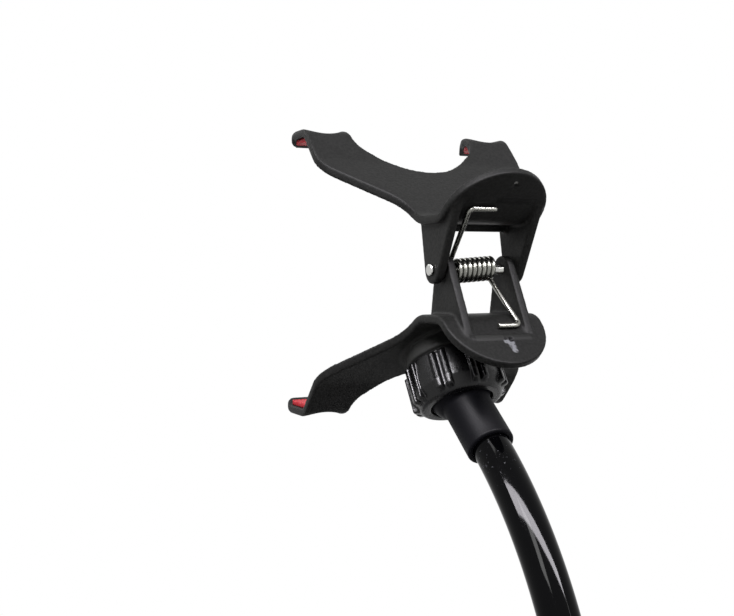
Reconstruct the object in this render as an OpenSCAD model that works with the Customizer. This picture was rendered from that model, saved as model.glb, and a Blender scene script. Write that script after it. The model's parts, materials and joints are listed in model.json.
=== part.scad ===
/* [Jaw sheet] */
// Thickness of the moulded jaw sheet
sheet_t = 2; // [1.6:0.1:2.4]
// Width of the plate and the finger tab
waist_w = 26; // [25:0.5:30]
// Height of the upper plate's inner face above the hinge pin
upper_plate_h = 10.5; // [9.5:0.1:12]
// Depth of the lower plate's inner face below the hinge pin
lower_plate_h = 10.3; // [9.5:0.1:12]
// Distance from the hinge pin back to the bend of the finger tabs
plate_back = 6.5; // [5.5:0.1:8]
// Distance from the hinge pin forward to the bend of the wings
plate_front = 4.8; // [4:0.1:6]
// Length of the upper finger tab along its slope
upper_tab_len = 15.4; // [14:0.2:24]
// Length of the lower finger tab along its slope
lower_tab_len = 15.2; // [14:0.2:24]
// Slope of the finger tabs
tab_slope = 43; // [35:1:50]
// Round of the bend between tab and plate
tab_bend_r = 6; // [4:0.5:8]
// Round of the bend between plate and wings
wing_bend_r = 10; // [6:0.5:12]

/* [Wings and claws] */
// Length of an upper wing along its slope
upper_wing_len = 27.3; // [25:0.1:34]
// Length of a lower wing along its slope
lower_wing_len = 28.6; // [25:0.1:36]
// Slope of the wings
wing_slope = 35; // [31:0.5:38]
// Length of an upper claw along its slope
upper_claw_len = 10.5; // [9:0.1:14]
// Length of a lower claw along its slope
lower_claw_len = 11.8; // [9:0.1:15]
// Slope of the claws
claw_slope = 47; // [43:0.5:52]
// Length of an upper hook from its knee to its lip
upper_hook_len = 7.3; // [6:0.1:11]
// Length of a lower hook from its knee to its lip
lower_hook_len = 9.7; // [6:0.1:13]
// Length of the turned-in lip at the end of each hook
lip_len = 4; // [3:0.1:6]
// Slope of the turned-in lip
lip_slope = 24; // [15:1:35]
// Thickness of the lip at its edge
lip_edge_t = 0.6; // [0.4:0.1:1.2]
// Width over both wings
wing_span = 59.2; // [56:0.2:70]
// Distance from the pin to where the waist starts to flare into the wings
flare_y = 10.2; // [9.5:0.1:12]
// Distance from the pin to where the flare reaches the full span
shoulder_y = 24; // [23:0.1:27]
// Round of the flare and of the shoulder
flare_r = 9; // [6:0.5:10]
// Distance from the pin to the bottom of the cut-out between the wings
cutout_y = 22; // [20:0.2:23]
// Width of the cut-out between the wings at its straight sides
cutout_w = 33.6; // [30:0.2:36]
// Round at the bottom of the cut-out
cutout_r = 14; // [10:0.5:15]
// Round of the claw's outer corner, seen from above
claw_corner_r = 4; // [2:0.5:5]
// Depth of the scoop in each claw's crest
scoop_depth = 1.1; // [0.6:0.1:1.3]
// Width of the scoop in each claw's crest
scoop_w = 10.6; // [8:0.2:10.8]

/* [Ears and hinge pin] */
// Diameter of the hinge pin
pin_d = 2.1; // [1.8:0.1:2.6]
// Diameter of the hinge pin's heads
pin_head_d = 2.8; // [2.7:0.1:3.6]
// Thickness of the hinge pin's heads
pin_head_t = 0.6; // [0.4:0.1:1]
// Radius of the round end of the ears
ear_r = 3.3; // [3:0.1:4]
// Thickness of the ears
ear_t = 2.1; // [1.6:0.1:2.2]
// Distance from the middle to the inner face of the lower ears
lower_ear_x = 7; // [6.8:0.1:7.2]
// Gap between a lower ear and the upper ear beside it
ear_gap = 0.5; // [0.3:0.1:0.7]
// Distance from the pin to the front edge of the ears at the plate
ear_front_y = 6; // [5:0.1:6.4]
// Distance along the tab that the ears reach
ear_on_tab = 6.2; // [5:0.1:7.5]
// Depth of the upper jaw's cross rib
rib_depth = 1.5; // [1:0.1:2]
// Thickness of the upper jaw's cross rib
rib_t = 2; // [1.5:0.1:2.5]
// Distance from the bend to the ridge that stops the spring's foot
ridge_on_tab = 7.2; // [6.8:0.1:8]
// Length of the ridge
ridge_len = 16; // [12:0.5:17]
// Width of the ridge
ridge_w = 1.2; // [0.8:0.1:1.5]
// Height of the ridge
ridge_h = 0.7; // [0.4:0.1:1]

/* [Torsion spring] */
// Diameter of the spring wire
wire_d = 1.2; // [1:0.05:1.3]
// Free space between the pin and the coil
coil_play = 0.7; // [0.6:0.05:0.8]
// Gap between the coil's left end and the ear beside it
coil_end_gap = 0.3; // [0.3:0.05:0.5]
// Whole turns of the coil
coil_turns = 8; // [6:1:8]
// Distance from turn to turn
coil_pitch = 1.27; // [1.26:0.01:1.3]
// Tilt of the coil on the pin
coil_tilt = 4; // [0:0.5:5]
// Length of the upper foot along its tab
upper_foot_len = 6.8; // [5:0.1:7]
// Length of the lower foot along its tab
lower_foot_len = 5.8; // [5:0.1:7]
// Distance from the bend of the upper tab to its foot
upper_foot_on_tab = 5.1; // [4.6:0.1:5.4]
// Distance from the bend of the lower tab to its foot
lower_foot_on_tab = 4.3; // [4:0.1:5]
// Distance that each leg leans outwards from the coil to its foot
leg_splay = 1.5; // [1:0.1:1.7]

/* [Claw pads] */
// Thickness of the rubber pads in the claws
pad_t = 1.2; // [0.8:0.1:1.6]
// Length of claw slope that a pad covers
pad_on_claw = 7; // [5:0.5:9]
// Distance from a claw's sides to the pad's sides
pad_inset = 1; // [0.6:0.1:1.4]

/* [Ball joint] */
// Diameter of the ball
ball_d = 16; // [15.4:0.1:16.2]
// Gap between the ball and its socket
ball_gap = 0.05; // [0.02:0.01:0.1]
// Distance from the ball's centre to the wing plate along the socket's axis
socket_h = 11.2; // [11:0.1:12]
// Lean of the socket's axis, from level
socket_lean = 58; // [56:0.5:60]
// Distance along the lower wing to the socket's axis
socket_on_wing = 12.9; // [12.4:0.1:13.4]
// Diameter of the socket's dome where it meets the nut
dome_d = 21.8; // [21.4:0.1:22.6]
// Diameter of the threaded neck
neck_d = 19.9; // [19.6:0.1:20.2]
// Gap between neck and nut
thread_gap = 0.05; // [0.02:0.01:0.1]
// Gap between the dome's rim and the nut
dome_gap = 0.6; // [0.3:0.1:1]
// Slots that part the collet fingers
finger_slots = 6; // [4:2:8]
// Width of the finger slots
slot_w = 1.2; // [0.8:0.1:1.6]
// Widest diameter of the lock nut between its grips
nut_d = 22.8; // [22.6:0.1:24]
// Height of the lock nut above the ball's centre
nut_up = 7; // [6.5:0.1:7]
// Height of the lock nut below the ball's centre
nut_down = 4; // [3.8:0.1:4.2]
// Diameter of the nut's mouth
mouth_d = 15.5; // [15.5:0.1:15.8]
// Number of grips round the nut
grips = 8; // [6:1:10]
// Width of each of a grip's two ribs
grip_rib_w = 1.6; // [1.2:0.1:2]
// Width of the groove between a grip's ribs
grip_groove_w = 1; // [0.8:0.1:1.5]
// Height of the grips above the nut
grip_h = 0.6; // [0.3:0.1:0.8]
// Diameter of the ball stem's sleeve
sleeve_d = 11.5; // [11.2:0.1:11.6]
// Distance from the ball's centre to the sleeve's mouth
sleeve_reach = 19.5; // [18:0.5:24]
// Lean of the stem at rest, from level
stem_lean = 38; // [38:0.5:42]

/* [Arm] */
// Diameter of the arm's sheath
arm_d = 9; // [8.6:0.1:9.2]
// Wall of the arm's sheath
sheath_wall = 1.2; // [0.8:0.1:1.6]
// Gap between the sheath and its core
core_gap = 0.05; // [0.03:0.01:0.1]
// Gap between the sheath and the sleeves it is fitted in
sleeve_gap = 0.05; // [0.02:0.01:0.1]
// Length of arm held in the ball stem
arm_in_stem = 11; // [9:0.5:12]
// Radius of the arm's bend below the ball stem
top_bend_r = 99; // [90:1:130]
// Radius of the two counter bends of the arm
sway_r = 220; // [180:5:260]
// Turn of each counter bend
sway_turn = 16; // [8:1:20]
// Straight length of arm between its bends
arm_link_len = 8; // [4:1:20]
// Length of the straight foot of the arm
arm_foot_len = 130; // [100:5:200]

/* [Desk clamp] */
// Width of the clamp frame
frame_w = 24; // [22:1:30]
// Thickness of the frame's upper jaw
frame_top_t = 10; // [8:0.5:12]
// Thickness of the frame's lower arm
frame_arm_t = 13; // [12:0.5:16]
// Thickness of the frame's spine
spine_t = 14; // [12:0.5:18]
// Free height between the fixed jaw and the lower arm
gap_h = 50; // [46:1:56]
// Distance from the seat's centre back to the spine
throat = 26; // [22:1:34]
// Distance from the seat's centre to the front of the frame
frame_front = 13; // [13:0.5:16]
// Thickness of the web between the frame's pockets
web_t = 4; // [3:0.5:6]
// Width of the rim round the frame's pockets
rim_w = 3; // [2.5:0.25:3.5]
// Round of the frame's outer corners
frame_r = 7; // [4:0.5:8]
// Thickness of the desk pad
desk_pad_t = 2; // [1.5:0.25:3]
// Height of the arm's socket above the frame's upper jaw
boss_h = 16; // [12:1:20]
// Wall of the arm's socket
boss_wall = 3; // [2.5:0.25:3.5]
// Depth of the arm's socket
socket_depth = 24; // [20:1:26]
// Wall of the base sleeve
base_wall = 2; // [1.75:0.25:2.5]
// Length of the base sleeve above the socket
base_out = 14; // [10:1:20]
// Diameter of the arm screw's thread
arm_screw_d = 4; // [3:0.5:5]

/* [Clamp screw] */
// Diameter of the clamp screw
screw_d = 10; // [9:0.5:11]
// Pitch of the clamp screw
screw_pitch = 3; // [2:0.5:4]
// Gap between the screw and the parts it runs in
screw_gap = 0.05; // [0.02:0.01:0.1]
// Free space around the screw in the frame
screw_play = 0.6; // [0.4:0.1:1]
// Width across the flats of the moulded-in nut
insert_af = 16; // [15:0.5:17]
// Height of the moulded-in nut
insert_h = 8; // [6:0.5:9]
// Distance between the desk pad and the foot pad as drawn
desk_t = 24; // [12:1:30]
// Diameter of the pressure foot
foot_d = 24; // [20:1:26]
// Thickness of the pressure foot
foot_t = 5; // [4.5:0.25:7]
// Thickness of the foot pad
foot_pad_t = 2; // [1.5:0.25:3]
// Height of the hub below the pressure foot
hub_h = 3; // [2:0.5:4]
// Diameter of the screw's neck inside the foot
tip_d = 6; // [5:0.5:6.5]
// Thickness of the clip that holds the foot
clip_t = 0.8; // [0.6:0.1:1]
// Depth of the clip's groove in the neck
groove_depth = 0.6; // [0.4:0.1:0.8]
// Diameter of the knob
knob_d = 32; // [26:1:40]
// Height of the knob
knob_h = 18; // [14:1:24]
// Number of the knob's lobes
knob_lobes = 6; // [5:1:8]
// Space left between the knob and the frame when the clamp is shut
knob_spare = 1; // [0.5:0.5:4]

/* [Hidden] */
$fn = 64;
foot_spare = 0.3;

// Rounded paths: a corner is [x, y, radius], and its arc is worked out from its neighbours
arc_steps = 7;
function flat(v) = [v[0], v[1]];
function unit(v) = v / norm(v);
function across(v) = [-v[1], v[0]];
function turn_side(a, b) = sign(cross(a, b));
function corner_arc(a, b, c, r) =
  let (
    u = unit(a - b),
    v = unit(c - b),
    half = acos(u * v) / 2,
    centre = b + unit(u + v) * r / sin(half),
    from = b + u * r / tan(half) - centre,
    start = atan2(from[1], from[0]),
    sweep = turn_side(b - a, c - b) * (180 - 2 * half)
  ) [for (k = [0:arc_steps]) centre + r * polar(start + sweep * k / arc_steps)];
function rounded(p, closed = false) = [
  for (i = [0:len(p) - 1])
    let (last = len(p) - 1, r = p[i][2] == undef ? 0 : p[i][2])
      each r == 0 || (!closed && (i == 0 || i == last)) ? [flat(p[i])]
        : corner_arc(flat(p[i == 0 ? last : i - 1]), flat(p[i]), flat(p[i == last ? 0 : i + 1]), r)
];
// The same path moved sideways by t to its left, with its arcs kept concentric
function shifted(p, t) = [
  for (i = [0:len(p) - 1])
    let (
      last = len(p) - 1,
      d0 = unit(flat(p[max(i, 1)]) - flat(p[max(i, 1) - 1])),
      d1 = unit(flat(p[min(i, last - 1) + 1]) - flat(p[min(i, last - 1)])),
      n0 = across(d0),
      n1 = across(d1),
      at = flat(p[i]) + t * (n0 + n1) / (1 + n0 * n1)
    ) i == 0 || i == last ? at : [at[0], at[1], p[i][2] - t * turn_side(d0, d1)]
];
function backwards(p) = [for (i = [len(p) - 1:-1:0]) p[i]];
function polar(a) = [cos(a), sin(a)];

// The side profile of a jaw's inner face, from the tab's bend to the lip's edge, with the pin at zero
wing_turn_r = 14;
knee_r = 3.5;
lip_r = 4;
tab_bend = tab_bend_r * tan(tab_slope / 2);
function jaw_path(h, wing, claw, hook) =
  let (
    bend = [-plate_back, h],
    front = [plate_front, h],
    wing_end = front + wing * polar(wing_slope),
    knee = wing_end + claw * polar(claw_slope),
    lip = knee + hook * polar(0),
    edge = lip + lip_len * polar(-lip_slope)
  ) [
    bend + (tab_bend + 0.01) * polar(180 - tab_slope),
    [bend[0], bend[1], tab_bend_r],
    [front[0], front[1], wing_bend_r],
    [wing_end[0], wing_end[1], wing_turn_r],
    [knee[0], knee[1], knee_r],
    [lip[0], lip[1], lip_r],
    edge
  ];
upper_path = jaw_path(upper_plate_h, upper_wing_len, upper_claw_len, upper_hook_len);
lower_path = jaw_path(lower_plate_h, lower_wing_len, lower_claw_len, lower_hook_len);
function knee_y(path) = path[4][0];
function crest_z(path) = path[4][1] + sheet_t;
function tip_y(path) = path[6][0];
function reach(path) = knee_y(path) / knee_y(upper_path);
// The outer face ends in a thin lip
function outer_path(path) =
  let (p = shifted(path, sheet_t), q = shifted(path, lip_edge_t))
    [p[0], p[1], p[2], p[3], p[4], p[5], q[6]];
function middle_path(path) = rounded(shifted(path, sheet_t / 2));

// Seen from above: the waist flares into two wings round a cut-out, and each wing ends in a claw
cutout_flat = 4.7;
cutout_side_y = 29.9;
cutout_side_r = 5;
cutout_open_y = 37.5;
cutout_open_w = 36;
cutout_end_w = 44;
function half_plan(path, inset = 0) =
  let (k = reach(path), tip = tip_y(path) + 0.5 - inset, x = inset) [
    [waist_w / 2, 0],
    [waist_w / 2, flare_y * k, flare_r],
    [wing_span / 2 - x, shoulder_y * k, flare_r],
    [wing_span / 2 - x, tip, claw_corner_r],
    [cutout_end_w / 2 + x, tip, 1],
    [cutout_open_w / 2 + x, cutout_open_y * k, cutout_r / 2],
    [cutout_w / 2 + x, cutout_side_y * k, cutout_side_r],
    [cutout_flat, cutout_y * k, cutout_r]
  ];
function mirrored(p) = [for (i = [len(p) - 1:-1:0]) [-p[i][0], p[i][1], p[i][2]]];
function whole_plan(path) = rounded(concat(half_plan(path), mirrored(half_plan(path))), true);

// Pin and ears
pin_r = pin_d / 2;
pin_gap = 0.05;
upper_ear_x = lower_ear_x + ear_t + ear_gap;
ears_out_x = upper_ear_x + ear_t;

// The arm's line in the middle plane: each stretch is [length, 0] if straight, or [radius, turn]
seat_top = desk_pad_t + frame_top_t;
arm_y = -throat - spine_t / 2;
socket_floor = seat_top + boss_h - socket_depth;
stretches = [
  [arm_foot_len, 0], [sway_r, sway_turn], [arm_link_len, 0], [sway_r, -sway_turn],
  [arm_link_len, 0], [top_bend_r, stem_lean - 90], [arm_in_stem, 0]
];
function bend_side(place, stretch) = sign(stretch[1]) * across(polar(place[2]));
function bend_centre(place, stretch) = flat(place) + stretch[0] * bend_side(place, stretch);
function along(place, stretch) =
  stretch[1] == 0 ? concat(flat(place) + stretch[0] * polar(place[2]), place[2])
    : let (after = place[2] + stretch[1])
        concat(bend_centre(place, stretch) - stretch[0] * bend_side([0, 0, after], stretch), after);
// Where each stretch starts, as [y, z, heading]
function start_of(i) = i == 0 ? [arm_y, socket_floor + 1, 90] : along(start_of(i - 1), stretches[i - 1]);
stem_mouth = start_of(len(stretches) - 1);
ball = flat(stem_mouth) + sleeve_reach * polar(stem_lean);

// The hinge pin's place above the ball, from where the socket stands on the lower wing
socket_foot = [
  plate_front + socket_on_wing * cos(wing_slope) - sheet_t * sin(wing_slope),
  -lower_plate_h - socket_on_wing * sin(wing_slope) - sheet_t * cos(wing_slope)
];
pin = ball + socket_h * polar(socket_lean) - socket_foot;

// Ball joint: the neck and the nut are turned about the socket's axis, with the ball's centre at zero
ball_r = ball_d / 2;
cavity_r = ball_r + ball_gap;
neck_r = neck_d / 2;
nut_bore_r = neck_r + thread_gap;
finger_down = nut_down - 1.1;
grip_end = 1.2 - nut_down;
finger_end_r = 8.6;
cone_start = -0.3;
mouth_r = mouth_d / 2;
sleeve_r = sleeve_d / 2;
arm_r = arm_d / 2;
core_r = arm_r - sheath_wall - core_gap;

// Desk clamp
arm_bottom = -gap_h - frame_arm_t + desk_pad_t;
gap_floor = desk_pad_t - gap_h;
base_r = arm_r + sleeve_gap + base_wall;
boss_r = base_r + sleeve_gap + boss_wall;
screw_r = screw_d / 2;
thread_depth = screw_pitch / 3;
insert_r = insert_af / 2 / cos(30);
foot_top = -desk_t;
foot_seat = foot_top - foot_pad_t - foot_t - hub_h;
clip_z = foot_top - foot_pad_t - clip_t - 0.3;
groove_r = tip_d / 2 - groove_depth;
travel_up = desk_t - foot_spare;
knob_top = arm_bottom - travel_up - knob_spare;

module side_cut(width) {
  rotate([90, 0, 90]) linear_extrude(width, center = true) children();
}
module at_pin() {
  translate([0, pin[0], pin[1]]) children();
}
module at_ball() {
  translate([0, ball[0], ball[1]]) children();
}
module on_socket_axis() {
  at_ball() rotate([socket_lean - 90, 0, 0]) children();
}
module on_stem_axis() {
  at_ball() rotate([stem_lean + 90, 0, 0]) children();
}
module on_tab(h) {
  translate([0, -plate_back, h]) rotate([-tab_slope, 0, 0]) children();
}

// Jaw sheet: a flat tab with a round end, and a bent plate cut to the plan of the wings
module tab_plate(h, length) {
  r = waist_w / 2;
  on_tab(h) linear_extrude(sheet_t)
    polygon(concat(
      [for (a = [180:7.5:360]) [r * cos(a), r - length + r * sin(a)]],
      [[r, -tab_bend], [-r, -tab_bend]]
    ));
}
module bent_plate(path) {
  inner = rounded(path);
  outer = rounded(outer_path(path));
  side_cut(waist_w) polygon(concat(
    [for (p = inner) if (p[0] < 0) p], [[0, path[1][1]], [0, path[1][1] + sheet_t]],
    backwards([for (p = outer) if (p[0] < 0) p])
  ));
  intersection() {
    side_cut(wing_span + 4) polygon(concat(
      [[0, path[1][1]]], [for (p = inner) if (p[0] > 0) p],
      backwards([for (p = outer) if (p[0] > 0) p]), [[0, path[1][1] + sheet_t]]
    ));
    linear_extrude(crest_z(path) + 5) polygon(whole_plan(path));
  }
}
module scoops(path) {
  // A round cut along each claw's crest, wide enough at the crest to leave a lobe on each side
  x = (wing_span + cutout_open_w) / 4;
  r = (scoop_w * scoop_w / 4 + scoop_depth * scoop_depth) / (2 * scoop_depth);
  for (side = [-1, 1])
    translate([side * x, knee_y(path) - 8, crest_z(path) - scoop_depth + r])
      rotate([-90, 0, 0]) cylinder(r = r, h = 30, $fn = 96);
}

// Ears: wedges under the plate, with a round end about the pin
module ears(path, tab_h, x) {
  front = [ear_front_y, tab_h + 4];
  back = [-plate_back, tab_h] + ear_on_tab * polar(180 - tab_slope);
  back_top = back + 1.5 * unit(back);
  a0 = atan2(front[1], front[0]) - acos(ear_r / norm(front));
  a1 = atan2(back_top[1], back_top[0]) + acos(ear_r / norm(back_top)) - 360;
  intersection() {
    for (side = [-1, 1])
      translate([side * (x + ear_t / 2), 0, 0]) side_cut(ear_t)
        polygon(concat(
          [front], [for (k = [0:12]) ear_r * polar(a0 + (a1 - a0) * k / 12)], [back_top],
          [[-plate_back, tab_h + 4]]
        ));
    side_cut(waist_w) polygon(concat(
      [[-plate_back - 20, -8]], [[-plate_back - 20, tab_h + 20 * tan(tab_slope) + sheet_t / 2]],
      [for (p = middle_path(path)) if (p[0] < ear_front_y + 6) p], [[ear_front_y + 6, -8]]
    ));
  }
}
module pin_hole() {
  rotate([0, 90, 0]) cylinder(r = pin_r + pin_gap, h = waist_w + 4, center = true);
}
module spring_ridge(h) {
  on_tab(h) translate([-ridge_len / 2, -ridge_on_tab - ridge_w / 2, -ridge_h])
    cube([ridge_len, ridge_w, ridge_h + sheet_t / 2]);
}

module upper_jaw() {
  color([0.2, 0.2, 0.19]) at_pin() difference() {
    union() {
      tab_plate(upper_plate_h, upper_tab_len);
      bent_plate(upper_path);
      ears(upper_path, upper_plate_h, upper_ear_x);
      spring_ridge(upper_plate_h);
      translate([0, plate_front - rib_t - 0.8, upper_plate_h - rib_depth + (rib_depth + 1) / 2])
        cube([2 * upper_ear_x + 1, rib_t, rib_depth + 1], center = true);
    }
    pin_hole();
    scoops(upper_path);
  }
}

// Lower jaw: the upper one's form turned over, with the ball's socket moulded under its wings
module socket_body() {
  // The neck and collet fingers carry the ball, and the dome joins them to the plate
  difference() {
    rotate_extrude($fn = 96) polygon([
      [0, nut_up - 3], [neck_r, nut_up - 3], [neck_r, cone_start], [finger_end_r, -finger_down],
      [0, -finger_down]
    ]);
    for (k = [0:finger_slots / 2 - 1])
      rotate([0, 0, (k + 0.5) * 360 / finger_slots])
        translate([-neck_r - 1, -slot_w / 2, -finger_down - 1])
          cube([2 * neck_r + 2, slot_w, finger_down + nut_up - 3]);
  }
  rotate_extrude($fn = 96) polygon([
    [0, nut_up - 3.5], [neck_r, nut_up - 3.5], [neck_r, nut_up + dome_gap],
    [dome_d / 2, nut_up + dome_gap], [dome_d / 2 - 0.7, socket_h], [dome_d / 2 - 0.7, socket_h + 6],
    [0, socket_h + 6]
  ]);
}
module lower_jaw() {
  color([0.2, 0.2, 0.19]) difference() {
    union() {
      at_pin() mirror([0, 0, 1]) {
        tab_plate(lower_plate_h, lower_tab_len);
        bent_plate(lower_path);
        ears(lower_path, lower_plate_h, lower_ear_x);
        spring_ridge(lower_plate_h);
      }
      intersection() {
        on_socket_axis() socket_body();
        at_pin() mirror([0, 0, 1]) side_cut(wing_span) polygon(concat(
          [for (p = middle_path(lower_path)) if (p[0] > -plate_back) p],
          [[tip_y(lower_path), 60], [-plate_back, 60]]
        ));
      }
    }
    on_socket_axis() sphere(r = cavity_r, $fn = 96);
    at_pin() {
      pin_hole();
      mirror([0, 0, 1]) scoops(lower_path);
    }
  }
}

module hinge_pin() {
  half = ears_out_x + pin_gap;
  color([0.8, 0.8, 0.8]) at_pin() rotate([0, 90, 0]) {
    cylinder(r = pin_r, h = 2 * half, center = true);
    for (side = [0, 1]) mirror([0, 0, side]) translate([0, 0, half]) {
      cylinder(r = pin_head_d / 2, h = pin_head_t / 2);
      translate([0, 0, pin_head_t / 2])
        cylinder(r1 = pin_head_d / 2, r2 = pin_head_d / 3, h = pin_head_t / 2);
    }
  }
}

// Torsion spring: one wire swept along both feet, both legs and the coil between them
wire_r = wire_d / 2;
coil_r = pin_r + coil_play + wire_r;
coil_left = wire_r + coil_end_gap - lower_ear_x;
wire_sides = 8;
turn_steps = 18;
foot_gap = 0.05;
function foot_place(h, on_tab, side) =
  let (
    at = [-plate_back, h] + on_tab * polar(180 - tab_slope),
    off = (wire_r + foot_gap) * polar(90 - tab_slope)
  ) [at[0] - off[0], side * (at[1] - off[1])];
upper_foot = foot_place(upper_plate_h, upper_foot_on_tab, 1);
lower_foot = foot_place(lower_plate_h, lower_foot_on_tab, -1);
// Both legs touch the coil's front side, and the wire winds downwards there
upper_leave = atan2(upper_foot[1], upper_foot[0]) - acos(coil_r / norm(upper_foot));
lower_leave = atan2(lower_foot[1], lower_foot[0]) + acos(coil_r / norm(lower_foot));
coil_sweep = 360 * coil_turns + (upper_leave - lower_leave + 720) % 360;
coil_rings = ceil(coil_sweep / 360 * turn_steps);
coil_right = coil_left + coil_pitch * coil_sweep / 360;
coil_middle = (coil_left + coil_right) / 2;
function on_coil(k) =
  let (a = upper_leave - coil_sweep * k, x = coil_left + (coil_right - coil_left) * k)
    [x, coil_r * cos(a), coil_r * sin(a) + (x - coil_middle) * tan(coil_tilt)];
left_foot_x = coil_left - leg_splay;
right_foot_x = coil_right + leg_splay;
function bend_points(a, b, c, r) =
  let (
    u = unit(a - b),
    v = unit(c - b),
    half = acos(u * v) / 2,
    centre = b + unit(u + v) * r / sin(half),
    s = b + u * r / tan(half) - centre,
    e = b + v * r / tan(half) - centre,
    turn = 180 - 2 * half
  ) [for (k = [0:4]) centre + (s * sin(turn * (1 - k / 4)) + e * sin(turn * k / 4)) / sin(turn)];
upper_tip = [left_foot_x + upper_foot_len, upper_foot[0], upper_foot[1]];
lower_tip = [right_foot_x - lower_foot_len, lower_foot[0], lower_foot[1]];
wire_path = concat(
  [upper_tip],
  bend_points(upper_tip, [left_foot_x, upper_foot[0], upper_foot[1]], on_coil(0), wire_d),
  [for (k = [0:coil_rings]) on_coil(k / coil_rings)],
  bend_points(on_coil(1), [right_foot_x, lower_foot[0], lower_foot[1]], lower_tip, wire_d),
  [lower_tip]
);
function heading(p, i) = unit(p[min(i + 1, len(p) - 1)] - p[max(i - 1, 0)]);
function carried(p) = [
  for (i = 0, n = unit(cross(heading(p, 0), [0, 0, 1])); i < len(p);
    i = i + 1,
    n = i < len(p) ? unit(n - (n * heading(p, i)) * heading(p, i)) : n) n
];
module swept_wire(p, r, sides) {
  normals = carried(p);
  rings = len(p);
  points = [
    for (i = [0:rings - 1])
      let (n = normals[i], b = cross(heading(p, i), n))
        for (k = [0:sides - 1]) p[i] + r * (cos(360 * k / sides) * n + sin(360 * k / sides) * b)
  ];
  walls = [
    for (i = [0:rings - 2])
      for (k = [0:sides - 1])
        let (m = (k + 1) % sides)
          [i * sides + k, (i + 1) * sides + k, (i + 1) * sides + m, i * sides + m]
  ];
  ends = [
    [for (k = [0:sides - 1]) k],
    [for (k = [sides - 1:-1:0]) (rings - 1) * sides + k]
  ];
  polyhedron(points, concat(walls, ends));
}
module torsion_spring() {
  color([0.82, 0.82, 0.82]) at_pin() swept_wire(wire_path, wire_r, wire_sides);
}

// Rubber pads: a strip of even thickness inside each claw, from its slope round the knee to the lip
module claw_pad(path, side) {
  cut = knee_y(path) - pad_on_claw * cos(claw_slope);
  inner = rounded(path);
  face = rounded(shifted(path, -pad_t));
  edge = tip_y(path) - 1.2;
  intersection() {
    side_cut(wing_span + 4) polygon(concat(
      [for (p = inner) if (p[0] > cut && p[0] < edge) p],
      backwards([for (p = face) if (p[0] > cut && p[0] < edge - 0.4) p])
    ));
    linear_extrude(crest_z(path) + 5)
      polygon([
        for (p = rounded(concat(half_plan(path, pad_inset), [[0, cutout_y]]), true)) [side * p[0], p[1]]
      ]);
  }
}
module upper_pad_left() {
  color([0.75, 0.05, 0.1]) at_pin() claw_pad(upper_path, -1);
}
module upper_pad_right() {
  color([0.75, 0.05, 0.1]) at_pin() claw_pad(upper_path, 1);
}
module lower_pad_left() {
  color([0.75, 0.05, 0.1]) at_pin() mirror([0, 0, 1]) claw_pad(lower_path, -1);
}
module lower_pad_right() {
  color([0.75, 0.05, 0.1]) at_pin() mirror([0, 0, 1]) claw_pad(lower_path, 1);
}

// Lock nut: a barrel with a narrow mouth, which closes the collet fingers on the ball
module nut_form(proud) {
  r = nut_d / 2 + proud;
  rotate_extrude($fn = 96) polygon([
    [nut_bore_r, nut_up], [r - 0.5, nut_up], [r, 2.5], [r, 0], [r - 0.3, -1.2],
    [r - 1.4, -nut_down], [mouth_r, -nut_down], [mouth_r, -nut_down + 0.8],
    [finger_end_r + 0.15, -finger_down - 0.1], [nut_bore_r, cone_start + 0.1]
  ]);
}
module lock_nut() {
  color([0.06, 0.06, 0.06]) on_socket_axis() {
    nut_form(0);
    intersection() {
      nut_form(grip_h);
      for (k = [0:grips - 1])
        rotate([0, 0, (k + 0.5) * 360 / grips])
          for (side = [-1, 1])
            translate([nut_d / 2 - 2, side * (grip_groove_w + grip_rib_w) / 2 - grip_rib_w / 2, grip_end])
              cube([4, grip_rib_w, nut_up - 0.3 - grip_end]);
    }
  }
}

module ball_stem() {
  color([0.08, 0.08, 0.09]) on_stem_axis() difference() {
    union() {
      sphere(r = ball_r, $fn = 96);
      cylinder(r = sleeve_r, h = sleeve_reach - 0.5);
      translate([0, 0, sleeve_reach - 0.51])
        cylinder(r1 = sleeve_r, r2 = sleeve_r - 0.4, h = 0.51);
    }
    translate([0, 0, sleeve_reach - arm_in_stem - 0.5])
      cylinder(r = arm_r + sleeve_gap, h = arm_in_stem + 1);
    translate([0, 0, sleeve_reach - 0.6]) cylinder(r1 = arm_r, r2 = arm_r + 0.5, h = 0.61);
  }
}

// Arm: the bends are a hair thinner than the straight lengths that they run into
bend_hair = 0.02;
bend_lap = 0.5;
module bent_rod(place, stretch, outer, inner) {
  centre = bend_centre(place, stretch);
  lap = bend_lap / stretch[0] * 180 / PI;
  from = min(stretch[1], 0) + place[2] - 90 * sign(stretch[1]) - lap;
  translate([0, centre[0], centre[1]]) rotate([90, 0, 90])
    rotate_extrude(angle = abs(stretch[1]) + 2 * lap, start = from, $fn = 180)
      translate([stretch[0], 0]) difference() {
        circle(outer - bend_hair, $fn = 48);
        if (inner > 0) circle(inner + bend_hair, $fn = 48);
      }
}
module straight_rod(place, length, outer, inner) {
  translate([0, place[0], place[1]]) rotate([place[2] - 90, 0, 0]) difference() {
    cylinder(r = outer, h = length, $fn = 48);
    if (inner > 0) translate([0, 0, -1]) cylinder(r = inner, h = length + 2, $fn = 48);
  }
}
module arm_line(outer, inner, short) {
  last = len(stretches) - 1;
  for (i = [0:last])
    let (stretch = stretches[i], place = start_of(i))
      if (stretch[1] != 0) bent_rod(place, stretch, outer, inner);
      else straight_rod(
        i == 0 ? place + [0, short, 0] : place,
        stretch[0] - (i == 0 || i == last ? short : 0), outer, inner
      );
}
module arm_sheath() {
  color([0.05, 0.05, 0.05]) arm_line(arm_r, arm_r - sheath_wall, 0);
}
module arm_core() {
  color([0.7, 0.7, 0.72]) arm_line(core_r, 0, 1);
}

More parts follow.
